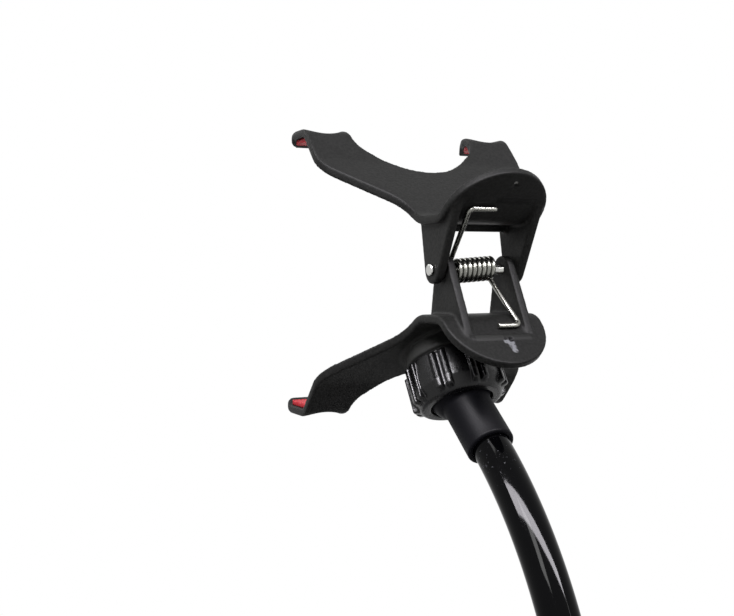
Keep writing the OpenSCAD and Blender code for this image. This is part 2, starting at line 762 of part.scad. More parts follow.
// Base sleeve: the collar on the arm's lower end, held in the clamp's socket
module base_sleeve() {
  low = socket_floor + 0.5;
  top = seat_top + boss_h;
  color([0.08, 0.08, 0.09]) difference() {
    translate([0, arm_y, 0]) {
      translate([0, 0, low]) cylinder(r = base_r, h = top + base_out - 3 - low);
      translate([0, 0, top + base_out - 3])
        cylinder(r1 = base_r, r2 = base_r - 1, h = 3);
    }
    translate([0, arm_y, low - 1]) cylinder(r = arm_r + sleeve_gap, h = 100);
    arm_screw_shaft(sleeve_gap);
  }
}
module arm_screw_shaft(gap) {
  z = seat_top + boss_h / 2;
  from = arm_y - boss_r - 1;
  to = arm_y - arm_r - sleeve_gap - 0.4;
  translate([0, from, z]) rotate([-90, 0, 0]) cylinder(r = arm_screw_d / 2 + gap, h = to - from);
}
module arm_screw() {
  z = seat_top + boss_h / 2;
  head_r = arm_screw_d * 0.9;
  color([0.7, 0.7, 0.7]) difference() {
    union() {
      arm_screw_shaft(0);
      translate([0, arm_y - boss_r - 2.4, z]) rotate([-90, 0, 0]) cylinder(r = head_r, h = 2.4);
    }
    for (turn = [0, 90])
      translate([0, arm_y - boss_r - 2.4, z]) rotate([0, turn, 0])
        cube([0.8, 2, head_r * 1.1], center = true);
  }
}

// Clamp frame: a moulded C with a web, a rim, the arm's socket and the seat of the nut
module frame_outline(grow) {
  back = arm_y - spine_t / 2;
  polygon(rounded([
    [back - grow, seat_top + grow, frame_r + grow], [frame_front + grow, seat_top + grow, 3],
    [frame_front + grow, desk_pad_t - grow, 0.8], [-throat - grow, desk_pad_t - grow, 3],
    [-throat - grow, gap_floor + grow, 3], [frame_front + grow, gap_floor + grow, 0.8],
    [frame_front + grow, arm_bottom - grow, 3], [back - grow, arm_bottom - grow, frame_r + grow]
  ], true));
}
// Boss around the arm's end, cut off below the seat so that the desk's gap stays free
module boss() {
  low = socket_floor - boss_wall;
  translate([0, arm_y, desk_pad_t + 1]) cylinder(r = boss_r, h = seat_top + boss_h - desk_pad_t - 1);
  difference() {
    translate([0, arm_y, low]) cylinder(r = boss_r, h = desk_pad_t + 2 - low);
    translate([-boss_r, -throat, low - 1]) cube([2 * boss_r, boss_r, desk_pad_t + 4 - low]);
  }
}
module clamp_frame() {
  color([0.07, 0.07, 0.07]) difference() {
    union() {
      difference() {
        side_cut(frame_w) frame_outline(0);
        for (side = [-1, 1])
          translate([side * (web_t + frame_w) / 2, 0, 0]) side_cut(frame_w) frame_outline(-rim_w);
      }
      boss();
      translate([0, 0, arm_bottom + 0.5]) cylinder(r = insert_r + 2.2, h = frame_arm_t - 0.5);
    }
    translate([0, arm_y, socket_floor]) cylinder(r = base_r + sleeve_gap, h = 60);
    arm_screw_shaft(sleeve_gap);
    translate([0, 0, gap_floor - insert_h])
      cylinder(r = insert_r + screw_gap, h = insert_h + 1, $fn = 6);
    translate([0, 0, arm_bottom - 1]) cylinder(r = screw_r + screw_play, h = frame_arm_t + 2);
  }
}
module thread_insert() {
  color([0.75, 0.6, 0.3]) translate([0, 0, gap_floor - insert_h]) difference() {
    cylinder(r = insert_r, h = insert_h, $fn = 6);
    translate([0, 0, -1]) cylinder(r = screw_r + screw_gap, h = insert_h + 2);
  }
}
module desk_pad() {
  depth = frame_front + throat - 4;
  color([0.12, 0.12, 0.12]) translate([-frame_w / 2 + 0.5, frame_front - depth, 0]) difference() {
    cube([frame_w - 1, depth, desk_pad_t]);
    for (k = [1:floor(depth / 4) - 1])
      translate([-1, 4 * k, -0.6]) cube([frame_w + 2, 1, 1]);
  }
}

// Clamp screw with its knob, turning in the foot that a clip holds on its neck
module clamp_screw() {
  top = foot_seat;
  color([0.75, 0.75, 0.75]) difference() {
    union() {
      translate([0, 0, knob_top - knob_h + 5]) cylinder(r = screw_r, h = top - knob_top + knob_h - 6);
      translate([0, 0, top - 1]) cylinder(r1 = screw_r, r2 = screw_r - thread_depth, h = 1);
      translate([0, 0, top - 0.01]) cylinder(r = tip_d / 2, h = foot_top - foot_pad_t - top - 0.19);
    }
    translate([0, 0, clip_z - 0.05]) difference() {
      cylinder(r = tip_d / 2 + 1, h = clip_t + 0.1);
      translate([0, 0, -1]) cylinder(r = groove_r, h = clip_t + 3);
    }
  }
}
module clamp_knob() {
  r = knob_d / 2;
  lobe_r = r * 0.24;
  color([0.06, 0.06, 0.06]) translate([0, 0, knob_top - knob_h]) difference() {
    union() {
      translate([0, 0, 2]) cylinder(r = r - lobe_r * 0.6, h = knob_h - 5);
      cylinder(r1 = r - lobe_r * 0.6 - 2, r2 = r - lobe_r * 0.6, h = 2);
      translate([0, 0, knob_h - 3.01]) cylinder(r1 = r - lobe_r * 0.6, r2 = screw_r + 4, h = 3.01);
      for (k = [0:knob_lobes - 1])
        rotate([0, 0, k * 360 / knob_lobes]) translate([r - lobe_r, 0, 1])
          cylinder(r = lobe_r, h = knob_h - 4);
    }
    translate([0, 0, 5]) cylinder(r = screw_r, h = knob_h);
  }
}
module pressure_foot() {
  plate_low = foot_top - foot_pad_t - foot_t;
  color([0.07, 0.07, 0.07]) difference() {
    union() {
      translate([0, 0, plate_low]) cylinder(r = foot_d / 2, h = foot_t);
      translate([0, 0, foot_seat + 0.05]) cylinder(r1 = screw_r + 1.5, r2 = screw_r + 3, h = hub_h);
    }
    translate([0, 0, foot_seat - 1]) cylinder(r = tip_d / 2 + screw_gap, h = 40);
    translate([0, 0, clip_z - 0.1]) cylinder(r = tip_d / 2 + 3, h = 10);
  }
}
module foot_clip() {
  color([0.7, 0.7, 0.7]) translate([0, 0, clip_z]) difference() {
    cylinder(r = tip_d / 2 + 1.8, h = clip_t);
    translate([0, 0, -1]) cylinder(r = groove_r + screw_gap, h = 4);
    translate([-tip_d * 0.32, 0, -1]) cube([tip_d * 0.64, tip_d * 2, 4]);
  }
}
module foot_pad() {
  color([0.12, 0.12, 0.12]) translate([0, 0, foot_top - foot_pad_t]) difference() {
    cylinder(r = foot_d / 2, h = foot_pad_t);
    for (k = [-2:2])
      translate([-foot_d, 4 * k - 0.5, foot_pad_t - 0.6]) cube([2 * foot_d, 1, 1]);
  }
}

upper_jaw();
lower_jaw();
hinge_pin();
torsion_spring();
upper_pad_left();
upper_pad_right();
lower_pad_left();
lower_pad_right();
lock_nut();
ball_stem();
arm_sheath();
arm_core();
base_sleeve();
arm_screw();
clamp_frame();
thread_insert();
clamp_screw();
clamp_knob();
pressure_foot();
foot_pad();
foot_clip();
desk_pad();
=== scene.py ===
"""A spring-clip phone holder on a bendable arm with a desk clamp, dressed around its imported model."""

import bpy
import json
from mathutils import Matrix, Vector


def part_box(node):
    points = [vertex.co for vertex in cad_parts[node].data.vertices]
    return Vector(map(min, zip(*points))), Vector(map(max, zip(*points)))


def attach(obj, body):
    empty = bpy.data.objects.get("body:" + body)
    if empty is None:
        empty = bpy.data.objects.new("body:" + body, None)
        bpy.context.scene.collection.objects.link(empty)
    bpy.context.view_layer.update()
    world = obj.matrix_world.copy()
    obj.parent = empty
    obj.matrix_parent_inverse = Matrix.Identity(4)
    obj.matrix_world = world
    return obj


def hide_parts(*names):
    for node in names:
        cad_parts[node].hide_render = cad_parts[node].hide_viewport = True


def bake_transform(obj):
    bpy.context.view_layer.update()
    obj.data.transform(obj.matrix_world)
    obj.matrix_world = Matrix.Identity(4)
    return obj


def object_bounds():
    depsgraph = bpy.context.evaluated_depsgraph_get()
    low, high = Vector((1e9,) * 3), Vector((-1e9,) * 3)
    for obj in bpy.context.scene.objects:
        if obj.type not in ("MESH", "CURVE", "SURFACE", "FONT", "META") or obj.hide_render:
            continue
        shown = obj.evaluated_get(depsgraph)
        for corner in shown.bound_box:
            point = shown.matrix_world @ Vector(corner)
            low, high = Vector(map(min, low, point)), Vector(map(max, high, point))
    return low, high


bl_info = {
    "name": "Phone Holder",
    "version": (1, 0, 0),
    "blender": (4, 5, 0),
    "location": "View3D > Sidebar > Phone Holder",
    "description": "Moulded jaws, wire spring, ball joint, bendable arm and desk clamp of a phone holder",
    "category": "Add Mesh",
}

import json
import math

import bmesh
import bpy
import numpy as np
from bpy.props import FloatProperty, FloatVectorProperty, IntProperty, PointerProperty
from mathutils import Euler, Matrix, Vector

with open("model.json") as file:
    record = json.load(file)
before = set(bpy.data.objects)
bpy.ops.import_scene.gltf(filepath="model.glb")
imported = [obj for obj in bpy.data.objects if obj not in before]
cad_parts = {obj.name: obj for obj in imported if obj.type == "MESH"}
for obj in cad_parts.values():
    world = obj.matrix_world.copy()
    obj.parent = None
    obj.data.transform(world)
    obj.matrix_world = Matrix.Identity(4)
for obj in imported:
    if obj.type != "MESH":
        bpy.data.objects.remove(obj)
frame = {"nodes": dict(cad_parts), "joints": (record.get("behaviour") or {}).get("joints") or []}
CAD_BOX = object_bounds()
MM = 0.001


def joint(name):
    """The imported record's joint of that name."""
    return next(j for j in frame["joints"] if j["name"] == name)


PIN = np.array(joint("jaw_hinge")["pos_m"])
BALL = np.array(joint("ball_tilt")["pos_m"])
SOCKET_AXIS = np.array(joint("head_turn")["axis"])
STEM_AXIS = -np.array(joint("stem_swivel")["axis"])


def length(name, text, value):
    """A size in metres that a user may change, given here in millimetres."""
    return FloatProperty(name=name, description=text, default=value * MM, unit="LENGTH", precision=5)


def colour(name, text, value):
    """A linear colour that a user may change."""
    return FloatVectorProperty(
        name=name, description=text, default=value, subtype="COLOR", size=3, min=0, max=1
    )


def count(name, text, value, least=0):
    """A whole number that a user may change."""
    return IntProperty(name=name, description=text, default=value, min=least)


def number(name, text, value):
    """A plain number that a user may change."""
    return FloatProperty(name=name, description=text, default=value)


class JawSizes(bpy.types.PropertyGroup):
    """How the moulded jaws are skinned."""

    cell: length("Cell", "Width of the cells of the moulded skin", 0.31)
    relax: count("Relax", "Passes that soften the moulded edges", 10)
    gate_r: length("Gate radius", "Radius of the dimple that the moulding gate leaves on a finger tab", 0.7)
    gate_depth: length("Gate depth", "Depth of that dimple", 0.35)
    bar_share: number("Bar share", "Share of the stop bars' height that is taken off", 0.7)
    bar_near: length("Bar near edge", "Distance along a tab, from the pin, to the stop bar's near edge", 17.9)
    bar_far: length("Bar far edge", "Distance along a tab, from the pin, to the stop bar's far edge", 20.1)
    bar_half: length("Bar half", "Distance from the middle to the stop bar's ends", 8.2)
    upper_face: length("Upper face", "Distance from the pin to the plane of the upper tab's inner face", 3.25)
    lower_face: length("Lower face", "Distance from the pin to the plane of the lower tab's inner face", 3.1)


class SpringSizes(bpy.types.PropertyGroup):
    """The torsion spring's wire and its way round the pin."""

    wire_d: length("Wire", "Diameter of the spring wire", 1.2)
    coil_r: length("Coil radius", "Radius from the pin's axis to the middle of the wire", 2.35)
    turns: count("Turns", "Whole turns of the coil", 8, 1)
    pitch: length("Pitch", "Distance from turn to turn", 1.27)
    tilt: number("Tilt", "Tilt of the coil on the pin, in degrees", 4)
    left_x: length("Left end", "Place of the coil's left end across the clip", -6.1)
    splay: length("Splay", "Distance that each leg leans outwards", 1.5)
    upper_foot: length("Upper foot", "Length of the upper foot along its tab", 6.8)
    lower_foot: length("Lower foot", "Length of the lower foot along its tab", 5.8)
    upper_back: length("Upper foot back", "Distance from the pin back to the upper foot", 10.673)
    lower_back: length("Lower foot back", "Distance from the pin back to the lower foot", 10.088)
    upper_up: length("Upper foot height", "Height of the upper foot above the pin", 13.503)
    lower_down: length("Lower foot depth", "Depth of the lower foot below the pin", 12.757)
    twist_reach: length("Twist reach", "Height above and below the pin within which the wire twists", 7)


class BallSizes(bpy.types.PropertyGroup):
    """The lock nut, the ball stem and the hinge pin."""

    nut_r: length("Nut radius", "Radius of the lock nut between its grips", 11.4)
    nut_bore_r: length("Nut bore", "Radius of the lock nut's thread", 10.0)
    mouth_r: length("Mouth", "Radius of the lock nut's mouth", 7.75)
    nut_up: length("Nut top", "Height of the nut above the ball's centre", 7.0)
    nut_down: length("Nut end", "Reach of the nut below the ball's centre", 4.0)
    grips: count("Grips", "Grips round the lock nut", 8, 3)
    grip_h: length("Grip height", "Height of the grips above the nut", 0.6)
    rib_w: length("Grip rib", "Width of each of a grip's two ribs", 1.6)
    groove_w: length("Grip groove", "Width of the groove between a grip's ribs", 1.0)
    groove_depth: length("Grip groove depth", "Depth of that groove into the nut", 0.7)
    ball_r: length("Ball radius", "Radius of the ball", 8.0)
    sleeve_r: length("Sleeve radius", "Radius of the ball stem's sleeve", 5.75)
    sleeve_reach: length("Sleeve reach", "Distance from the ball's centre to the sleeve's mouth", 19.5)
    arm_hole: length("Arm hole", "Depth of the hole for the arm in the sleeve", 11.5)
    pin_r: length("Pin radius", "Radius of the hinge pin", 1.05)
    head_r: length("Pin head", "Radius of the hinge pin's heads", 1.4)
    head_t: length("Pin head height", "Thickness of the hinge pin's heads", 0.6)
    pin_half: length("Pin half", "Distance from the middle to the hinge pin's heads", 11.85)


class ArmSizes(bpy.types.PropertyGroup):
    """The bendable arm's sheath and its line."""

    arm_r: length("Arm radius", "Radius of the arm's sheath", 4.5)
    wall: length("Wall", "Wall of the sheath", 1.2)
    foot_len: length("Foot", "Length of the straight foot of the arm", 130)
    link_len: length("Link", "Straight length between bends", 8)
    sway_r: length("Sway radius", "Radius of the two counter bends", 220)
    sway_turn: number("Sway turn", "Turn of each counter bend, in degrees", 16)
    top_r: length("Top radius", "Radius of the bend below the ball stem", 99)
    held_len: length("Held length", "Length of arm inside the ball stem", 11)


class Finishes(bpy.types.PropertyGroup):
    """Colours of the phone holder's materials."""

    jaw: colour("Jaw plastic", "Black moulded plastic of the jaws", (0.0185, 0.0185, 0.018))
    nut: colour("Nut plastic", "Black plastic of the lock nut", (0.0055, 0.0055, 0.006))
    sleeve: colour("Sleeve plastic", "Bluish black plastic of the sleeves", (0.006, 0.006, 0.0082))
    sheath: colour("Sheath plastic", "Gloss black plastic of the arm", (0.002, 0.002, 0.0026))
    clamp: colour("Clamp plastic", "Black moulded plastic of the desk clamp", (0.02, 0.02, 0.02))
    rubber: colour("Claw rubber", "Red rubber of the claw pads", (0.6, 0.008, 0.022))
    pad: colour("Desk rubber", "Black rubber of the desk pads", (0.022, 0.022, 0.022))
    nickel: colour("Nickel", "Bright nickel of the spring and screws", (0.2, 0.2, 0.182))
    zinc: colour("Zinc", "Bright zinc of the pin and the arm's screw", (0.5, 0.5, 0.48))
    brass: colour("Brass", "Brass of the moulded-in nut", (0.72, 0.48, 0.2))


class PhoneHolderSettings(bpy.types.PropertyGroup):
    """All sizes and colours of the dressed phone holder."""

    jaw: PointerProperty(type=JawSizes)
    spring: PointerProperty(type=SpringSizes)
    ball: PointerProperty(type=BallSizes)
    arm: PointerProperty(type=ArmSizes)
    finish: PointerProperty(type=Finishes)


def settings():
    """The scene's own settings."""
    return bpy.context.scene.phone_holder


# Shapes


def new_piece(name, mesh):
    """An object at the origin, unturned, that holds the mesh, shaded smooth."""
    piece = bpy.data.objects.new(name, mesh)
    bpy.context.scene.collection.objects.link(piece)
    mesh.polygons.foreach_set("use_smooth", np.ones(len(mesh.polygons), bool))
    mesh.update()
    return piece


def close_up(mesh):
    """Merges the doubled points at seams and poles and points every face outwards."""
    gap = 0.002 * MM
    work = bmesh.new()
    work.from_mesh(mesh)
    bmesh.ops.remove_doubles(work, verts=work.verts, dist=gap)
    bmesh.ops.dissolve_degenerate(work, edges=work.edges, dist=gap)
    bmesh.ops.recalc_face_normals(work, faces=work.faces)
    work.to_mesh(mesh)
    work.free()
    return mesh


def woven(name, points, along=False):
    """A skin over a grid of points, rows by columns: each cell is a face. It closes on itself across the
    columns, and across the rows too if along is true."""
    rows, columns = points.shape[:2]
    index = np.arange(rows * columns).reshape(rows, columns)
    index = np.concatenate([index, index[:, :1]], axis=1)
    if along:
        index = np.concatenate([index, index[:1]], axis=0)
    faces = np.stack([index[:-1, :-1], index[:-1, 1:], index[1:, 1:], index[1:, :-1]], axis=-1)
    mesh = bpy.data.meshes.new(name)
    mesh.from_pydata(points.reshape(-1, 3), [], faces.reshape(-1, 4))
    return close_up(mesh)


def corner_arc(before, at, after, radius, steps):
    """The arc of that radius which touches both sides of a corner. With u and v from the corner along its
    sides and h half the angle between them, its centre is at + (u + v) / |u + v| radius / sin h, and it
    starts radius / tan h along u."""
    u = (before - at) / np.linalg.norm(before - at)
    v = (after - at) / np.linalg.norm(after - at)
    half = math.acos(np.clip(u @ v, -1, 1)) / 2
    centre = at + (u + v) / np.linalg.norm(u + v) * radius / math.sin(half)
    start = at + u * radius / math.tan(half) - centre
    end = at + v * radius / math.tan(half) - centre
    turn = math.pi - 2 * half
    k = np.linspace(0, 1, steps + 1)[:, None]
    return centre + (start * np.sin(turn * (1 - k)) + end * np.sin(turn * k)) / math.sin(turn)


def round_corners(corners, steps=6):
    """A closed outline from corners of (a, b, radius): each corner becomes an arc, and a corner whose radius
    is zero stays sharp."""
    corners = [(np.array(c[:2], float), c[2]) for c in corners]
    outline = []
    for i, (at, radius) in enumerate(corners):
        before, after = corners[i - 1][0], corners[(i + 1) % len(corners)][0]
        outline.append(corner_arc(before, at, after, radius, steps) if radius else at[None])
    return np.concatenate(outline)


def finely(outline, step):
    """The same outline with extra points, so that none is further than step from the next."""
    after = np.roll(outline, -1, axis=0)
    counts = np.maximum(1, np.ceil(np.linalg.norm(after - outline, axis=1) / step)).astype(int)
    sides = zip(outline, after, counts)
    return np.concatenate([a + (b - a) * np.arange(n)[:, None] / n for a, b, n in sides])


def axis_frame(centre, axis):
    """Origin and three directions of a frame whose third direction is the axis and whose first is along X, or
    along Y where the axis itself is X."""
    w = np.array(axis, float) / np.linalg.norm(axis)
    u = np.array([1.0, 0, 0]) if abs(w[0]) < 0.9 else np.array([0, 1.0, 0])
    v = np.cross(w, u)
    return np.array(centre), u, v / np.linalg.norm(v), w


def turned(name, outline, place, sides, proud=None, closed=True):
    """A turned body: each point (r, z) of the outline goes round the axis as r cos t, r sin t, z. Where proud
    is given, proud(t, z, r) is added to the radius, which makes grips, lobes or a thread. sides is a number
    of even steps round the axis, or the angles t themselves. closed joins the outline's end to its start."""
    centre, u, v, w = place
    t = np.linspace(0, 2 * math.pi, sides, endpoint=False) if isinstance(sides, int) else sides
    sides, t = len(t), t[None, :]
    r, z = outline[:, :1], outline[:, 1:2]
    r = np.repeat(r, sides, axis=1)
    if proud is not None:
        r = r + proud(t, z, r)
    points = (
        centre
        + (r * np.cos(t))[..., None] * u
        + (r * np.sin(t))[..., None] * v
        + np.repeat(z, sides, axis=1)[..., None] * w
    )
    return new_piece(name, woven(name, points, along=closed))


def carried_normals(path):
    """One direction across the path at each of its points, carried along without twist."""
    heading = np.gradient(path, axis=0)
    heading /= np.linalg.norm(heading, axis=1)[:, None]
    normal = np.cross(heading[0], np.eye(3)[np.argmin(np.abs(heading[0]))])
    normals = []
    for h in heading:
        normal = normal - (normal @ h) * h
        normal = normal / np.linalg.norm(normal)
        normals.append(normal)
    normals = np.array(normals)
    return normals, np.cross(heading, normals)


def tube(name, path, radius, sides, inner=None, ease=0.0):
    """A round tube along a path: ring i is path[i] + radius (cos t n + sin t b). With an inner radius it is
    hollow, and else its ends are closed by rings that shrink to a point, over a round of width ease."""
    n, b = carried_normals(path)
    t = np.linspace(0, 2 * math.pi, sides, endpoint=False)[None, :, None]
    ring = np.cos(t) * n[:, None] + np.sin(t) * b[:, None]
    if inner:
        points = np.concatenate([path[:, None] + radius * ring, (path[:, None] + inner * ring)[::-1]])
        return new_piece(name, woven(name, points, along=True))

    def rounded_end(at, way, rim):
        """The tip and the rings of a round end that looks along way."""
        way = way / np.linalg.norm(way)
        steps = np.linspace(0, math.pi / 2, 5)
        rings = [
            at + way * ease * (math.cos(a) - 1) + (radius - ease + ease * math.sin(a)) * rim for a in steps
        ]
        return [at + 0 * rim, *rings]

    start = rounded_end(path[0], path[0] - path[1], ring[0])
    end = rounded_end(path[-1], path[-1] - path[-2], ring[-1])
    points = np.stack(start + list(path[1:-1, None] + radius * ring[1:-1]) + end[::-1])
    return new_piece(name, woven(name, points))


def skinned(node, name, cell, relax, shift=None):
    """The node's own surface as one even skin: a merged copy, covered in fine square cells and relaxed, so
    that its edges are rounded and its inner corners filled as a mould leaves them, and then covered in cells
    of the wanted width. shift(points) may move its points."""
    fine_share, last_passes = 0.58, 2
    piece = bpy.data.objects.new(name, close_up(frame["nodes"][node].data.copy()))
    bpy.context.scene.collection.objects.link(piece)
    for size, passes in ((cell * fine_share, relax), (cell, last_passes)):
        cover = piece.modifiers.new("Cover", "REMESH")
        cover.mode = "VOXEL"
        cover.voxel_size = size
        soften = piece.modifiers.new("Soften", "SMOOTH")
        soften.factor = 0.5
        soften.iterations = passes
    applied = bpy.data.meshes.new_from_object(piece.evaluated_get(bpy.context.evaluated_depsgraph_get()))
    bpy.data.objects.remove(piece)
    applied.materials.clear()
    if shift is not None:
        points = np.empty(len(applied.vertices) * 3, np.float32)
        applied.vertices.foreach_get("co", points)
        points = shift(points.reshape(-1, 3).astype(float))
        applied.vertices.foreach_set("co", points.astype(np.float32).ravel())
    applied.name = name
    return new_piece(name, applied)


def smooth_step(x, low, high):
    """0 below low, 1 above high, and an even S between them."""
    t = np.clip((x - low) / (high - low), 0, 1)
    return t * t * (3 - 2 * t)


def dimple(points, centre, radius, depth, way):
    """The points near the centre are pressed along way by depth, fading to nothing at the radius."""
    flat_share = 0.45
    far = np.linalg.norm(points - centre, axis=1)
    press = depth * (1 - smooth_step(far, radius * flat_share, radius))
    return points + press[:, None] * np.array(way)


def lowered(points, normal, level, jaw):
    """The stop bar on a finger tab comes down by its share. With p from the pin, the tab's face is the plane
    normal . p = level, and the bar's points stand above it by less than a millimetre."""
    p = points - PIN
    height = p @ normal - level
    along = np.abs(p @ np.array([0, normal[2], -normal[1]]))
    on_bar = (along > jaw.bar_near) & (along < jaw.bar_far) & (np.abs(p[:, 0]) < jaw.bar_half)
    bar = on_bar & (height > 0) & (height < 1 * MM)
    return points - (jaw.bar_share * height * bar)[:, None] * normal


def dress(piece, material, body, node):
    """Gives the piece its material, the body it moves with and the node it stands for."""
    piece.data.materials.clear()
    piece.data.materials.append(material)
    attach(piece, body)
    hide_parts(node)


def paint(node, material):
    """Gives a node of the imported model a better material."""
    data = frame["nodes"][node].data
    data.materials.clear()
    data.materials.append(material)
    data.polygons.foreach_set("use_smooth", np.ones(len(data.polygons), bool))


# Materials


class Shader:
    """A material's node tree, with short ways to add its nodes and join them."""

    def __init__(self, name):
        self.material = bpy.data.materials.new(name)
        self.material.use_nodes = True
        self.tree = self.material.node_tree
        self.surface = self.tree.nodes["Principled BSDF"]
        self.place = self.tree.nodes.new("ShaderNodeTexCoord").outputs["Object"]

    def add(self, kind, **inputs):
        """A node of that kind, with its inputs given by name or, after _, by number. An input that is a
        socket is linked, and any other is set as its value."""
        node = self.tree.nodes.new(kind)
        for key, value in inputs.items():
            socket = node.inputs[int(key[1:])] if key[0] == "_" and key[1:].isdigit() else node.inputs[key]
            if isinstance(value, bpy.types.NodeSocket):
                self.tree.links.new(value, socket)
            else:
                socket.default_value = value
        return node

    def noise(self, size, detail, roughness=0.5):
        """Noise whose grains are about size metres wide."""
        inputs = {"Vector": self.place, "Scale": 1 / size, "Detail": detail, "Roughness": roughness}
        return self.add("ShaderNodeTexNoise", **inputs).outputs["Fac"]

    def grade(self, value, low, high, start, end):
        """The value's range low to high becomes start to end in an even S, held at both ends."""
        node = self.add("ShaderNodeMapRange", _0=value, _1=low, _2=high, _3=start, _4=end)
        node.interpolation_type = "SMOOTHSTEP"
        return node.outputs[0]

    def mix(self, share, first, second):
        """A colour between two colours."""
        node = self.tree.nodes.new("ShaderNodeMix")
        node.data_type = "RGBA"
        for socket, value in zip((node.inputs[0], node.inputs[6], node.inputs[7]), (share, first, second)):
            if isinstance(value, bpy.types.NodeSocket):
                self.tree.links.new(value, socket)
            else:
                socket.default_value = value
        return node.outputs[2]

    def maths(self, operation, first, second):
        """One sum of two numbers."""
        node = self.add("ShaderNodeMath", _0=first, _1=second)
        node.operation = operation
        return node.outputs[0]

    def near(self, centre, inner, outer):
        """1 within inner metres of the centre, 0 beyond outer."""
        node = self.add("ShaderNodeVectorMath", _0=self.place, _1=tuple(centre))
        node.operation = "DISTANCE"
        return self.grade(node.outputs["Value"], inner, outer, 1.0, 0.0)

    def block(self, centre, half, soft):
        """1 inside a box of the given half sizes round the centre, 0 beyond soft metres outside it."""
        away = self.add("ShaderNodeVectorMath", _0=self.place, _1=tuple(centre))
        away.operation = "SUBTRACT"
        size = self.add("ShaderNodeVectorMath", _0=away.outputs["Vector"])
        size.operation = "ABSOLUTE"
        out = self.add("ShaderNodeVectorMath", _0=size.outputs["Vector"], _1=tuple(half))
        out.operation = "SUBTRACT"
        parts = self.add("ShaderNodeSeparateXYZ", _0=out.outputs["Vector"]).outputs
        most = self.maths("MAXIMUM", self.maths("MAXIMUM", parts[0], parts[1]), parts[2])
        return self.grade(most, 0.0, soft, 1.0, 0.0)

    def bump(self, height, depth, normal=None):
        """A normal from a height of 0 to 1 that stands for depth metres, over another normal if given."""
        inputs = {"Height": height, "Distance": depth, "Strength": 1.0}
        if normal is not None:
            inputs["Normal"] = normal
        return self.add("ShaderNodeBump", **inputs).outputs["Normal"]

    def set(self, **inputs):
        """Sets or links the surface's own sockets, where _ in a name stands for a space."""
        for key, value in inputs.items():
            socket = self.surface.inputs[key.replace("_", " ")]
            if isinstance(value, bpy.types.NodeSocket):
                self.tree.links.new(value, socket)
            else:
                socket.default_value = value


def shade(rgb, factor):
    """The colour made darker or lighter, with its alpha."""
    return (*[min(1.0, c * factor) for c in rgb], 1.0)


def moulded_plastic(name, rgb, roughness, gloss, grain, depth):
    """Moulded plastic: a fine even grain from the mould, of that width and depth, with slow changes of tone
    and gloss from the melt's flow."""
    mottle = 0.12
    s = Shader(name)
    fine = s.noise(grain, 3.0, 0.65)
    slow = s.noise(9 * MM, 3.0, 0.55)
    s.set(
        Base_Color=s.mix(slow, shade(rgb, 1 - mottle), shade(rgb, 1 + mottle)),
        Roughness=s.maths(
            "ADD", s.grade(slow, 0.3, 0.7, roughness - 0.05, roughness + 0.04),
            s.grade(fine, 0.3, 0.7, -0.04, 0.04),
        ),
        Normal=s.bump(fine, depth),
    )
    s.surface.inputs["Specular IOR Level"].default_value = gloss
    return s.material


def from_pin(x, y, z):
    """A place on the clip, in millimetres from the hinge pin's middle."""
    return PIN + np.array([x, y, z]) * MM


def strongest(s, masks):
    """The largest of several masks."""
    most = masks[0]
    for mask in masks[1:]:
        most = s.maths("MAXIMUM", most, mask)
    return most


def spots(s, places, flat_share):
    """A mask of round spots of (x, y, z, radius), in millimetres from the pin, each full over that share of
    its radius."""
    return strongest(s, [s.near(from_pin(x, y, z), flat_share * r * MM, r * MM) for x, y, z, r in places])


def with_painted_bar_light(s, tone, rgb):
    """Painted light and shade on the stop bars: the lower tab's bars are painted paler, a painted highlight
    for the light they catch, and the upper one darker, a painted shade under its tab. Each bar has its middle
    and half sizes in millimetres, how strongly it shows, and its brightness."""
    edge = 0.14 * MM
    # painted highlight on the two lower bars and painted shade on the upper bar
    bars = (
        ((-3.3, -12.2, -15.15), (3.6, 0.75, 0.68), 1.0, 2.1),
        ((3.9, -12.2, -15.2), (3.6, 0.75, 0.68), 1.0, 1.4),
        ((3.8, -12.0, 15.25), (5.2, 0.75, 0.6), 0.8, 0.35),
    )
    for middle, half, strength, brightness in bars:
        bar = s.block(from_pin(*middle), [h * MM for h in half], edge)
        tone = s.mix(s.maths("MULTIPLY", bar, strength), tone, shade(rgb, brightness))
    return tone


def with_gate_wear_and_pit_shade(s, tone, rgb):
    """A pale rub of wear runs from the lower tab's gate to the tab's edge, broken up by streaks. The upper
    gate has a light speck below it, and each gate's pit is painted dark, a painted shade in its hollow."""
    rubbed, speck = (0.38, 0.38, 0.42, 1), (0.45, 0.45, 0.43, 1)
    rub = spots(s, (
        (0.5, -12.75, -16.1, 0.8), (1.5, -13.0, -16.4, 1.25),
        (1.5, -13.9, -17.2, 1.1), (1.55, -14.8, -18.0, 0.9),
    ), 0.55)
    streak = s.grade(s.noise(0.5 * MM, 3.0, 0.6), 0.36, 0.52, 0.3, 1.0)
    tone = s.mix(s.maths("MULTIPLY", rub, streak), tone, rubbed)
    tone = s.mix(spots(s, ((1.26, -15.6, 18.98, 0.6),), 0.5), tone, speck)
    # painted shade in the gates' hollows
    pit_shade = spots(s, ((2.0, -12.4, -15.7, 0.85), (0.51, -12.4, -15.5, 0.5), (1.55, -15.0, 18.4, 0.4)), 0.6)
    return s.mix(pit_shade, tone, shade(rgb, 0.04))


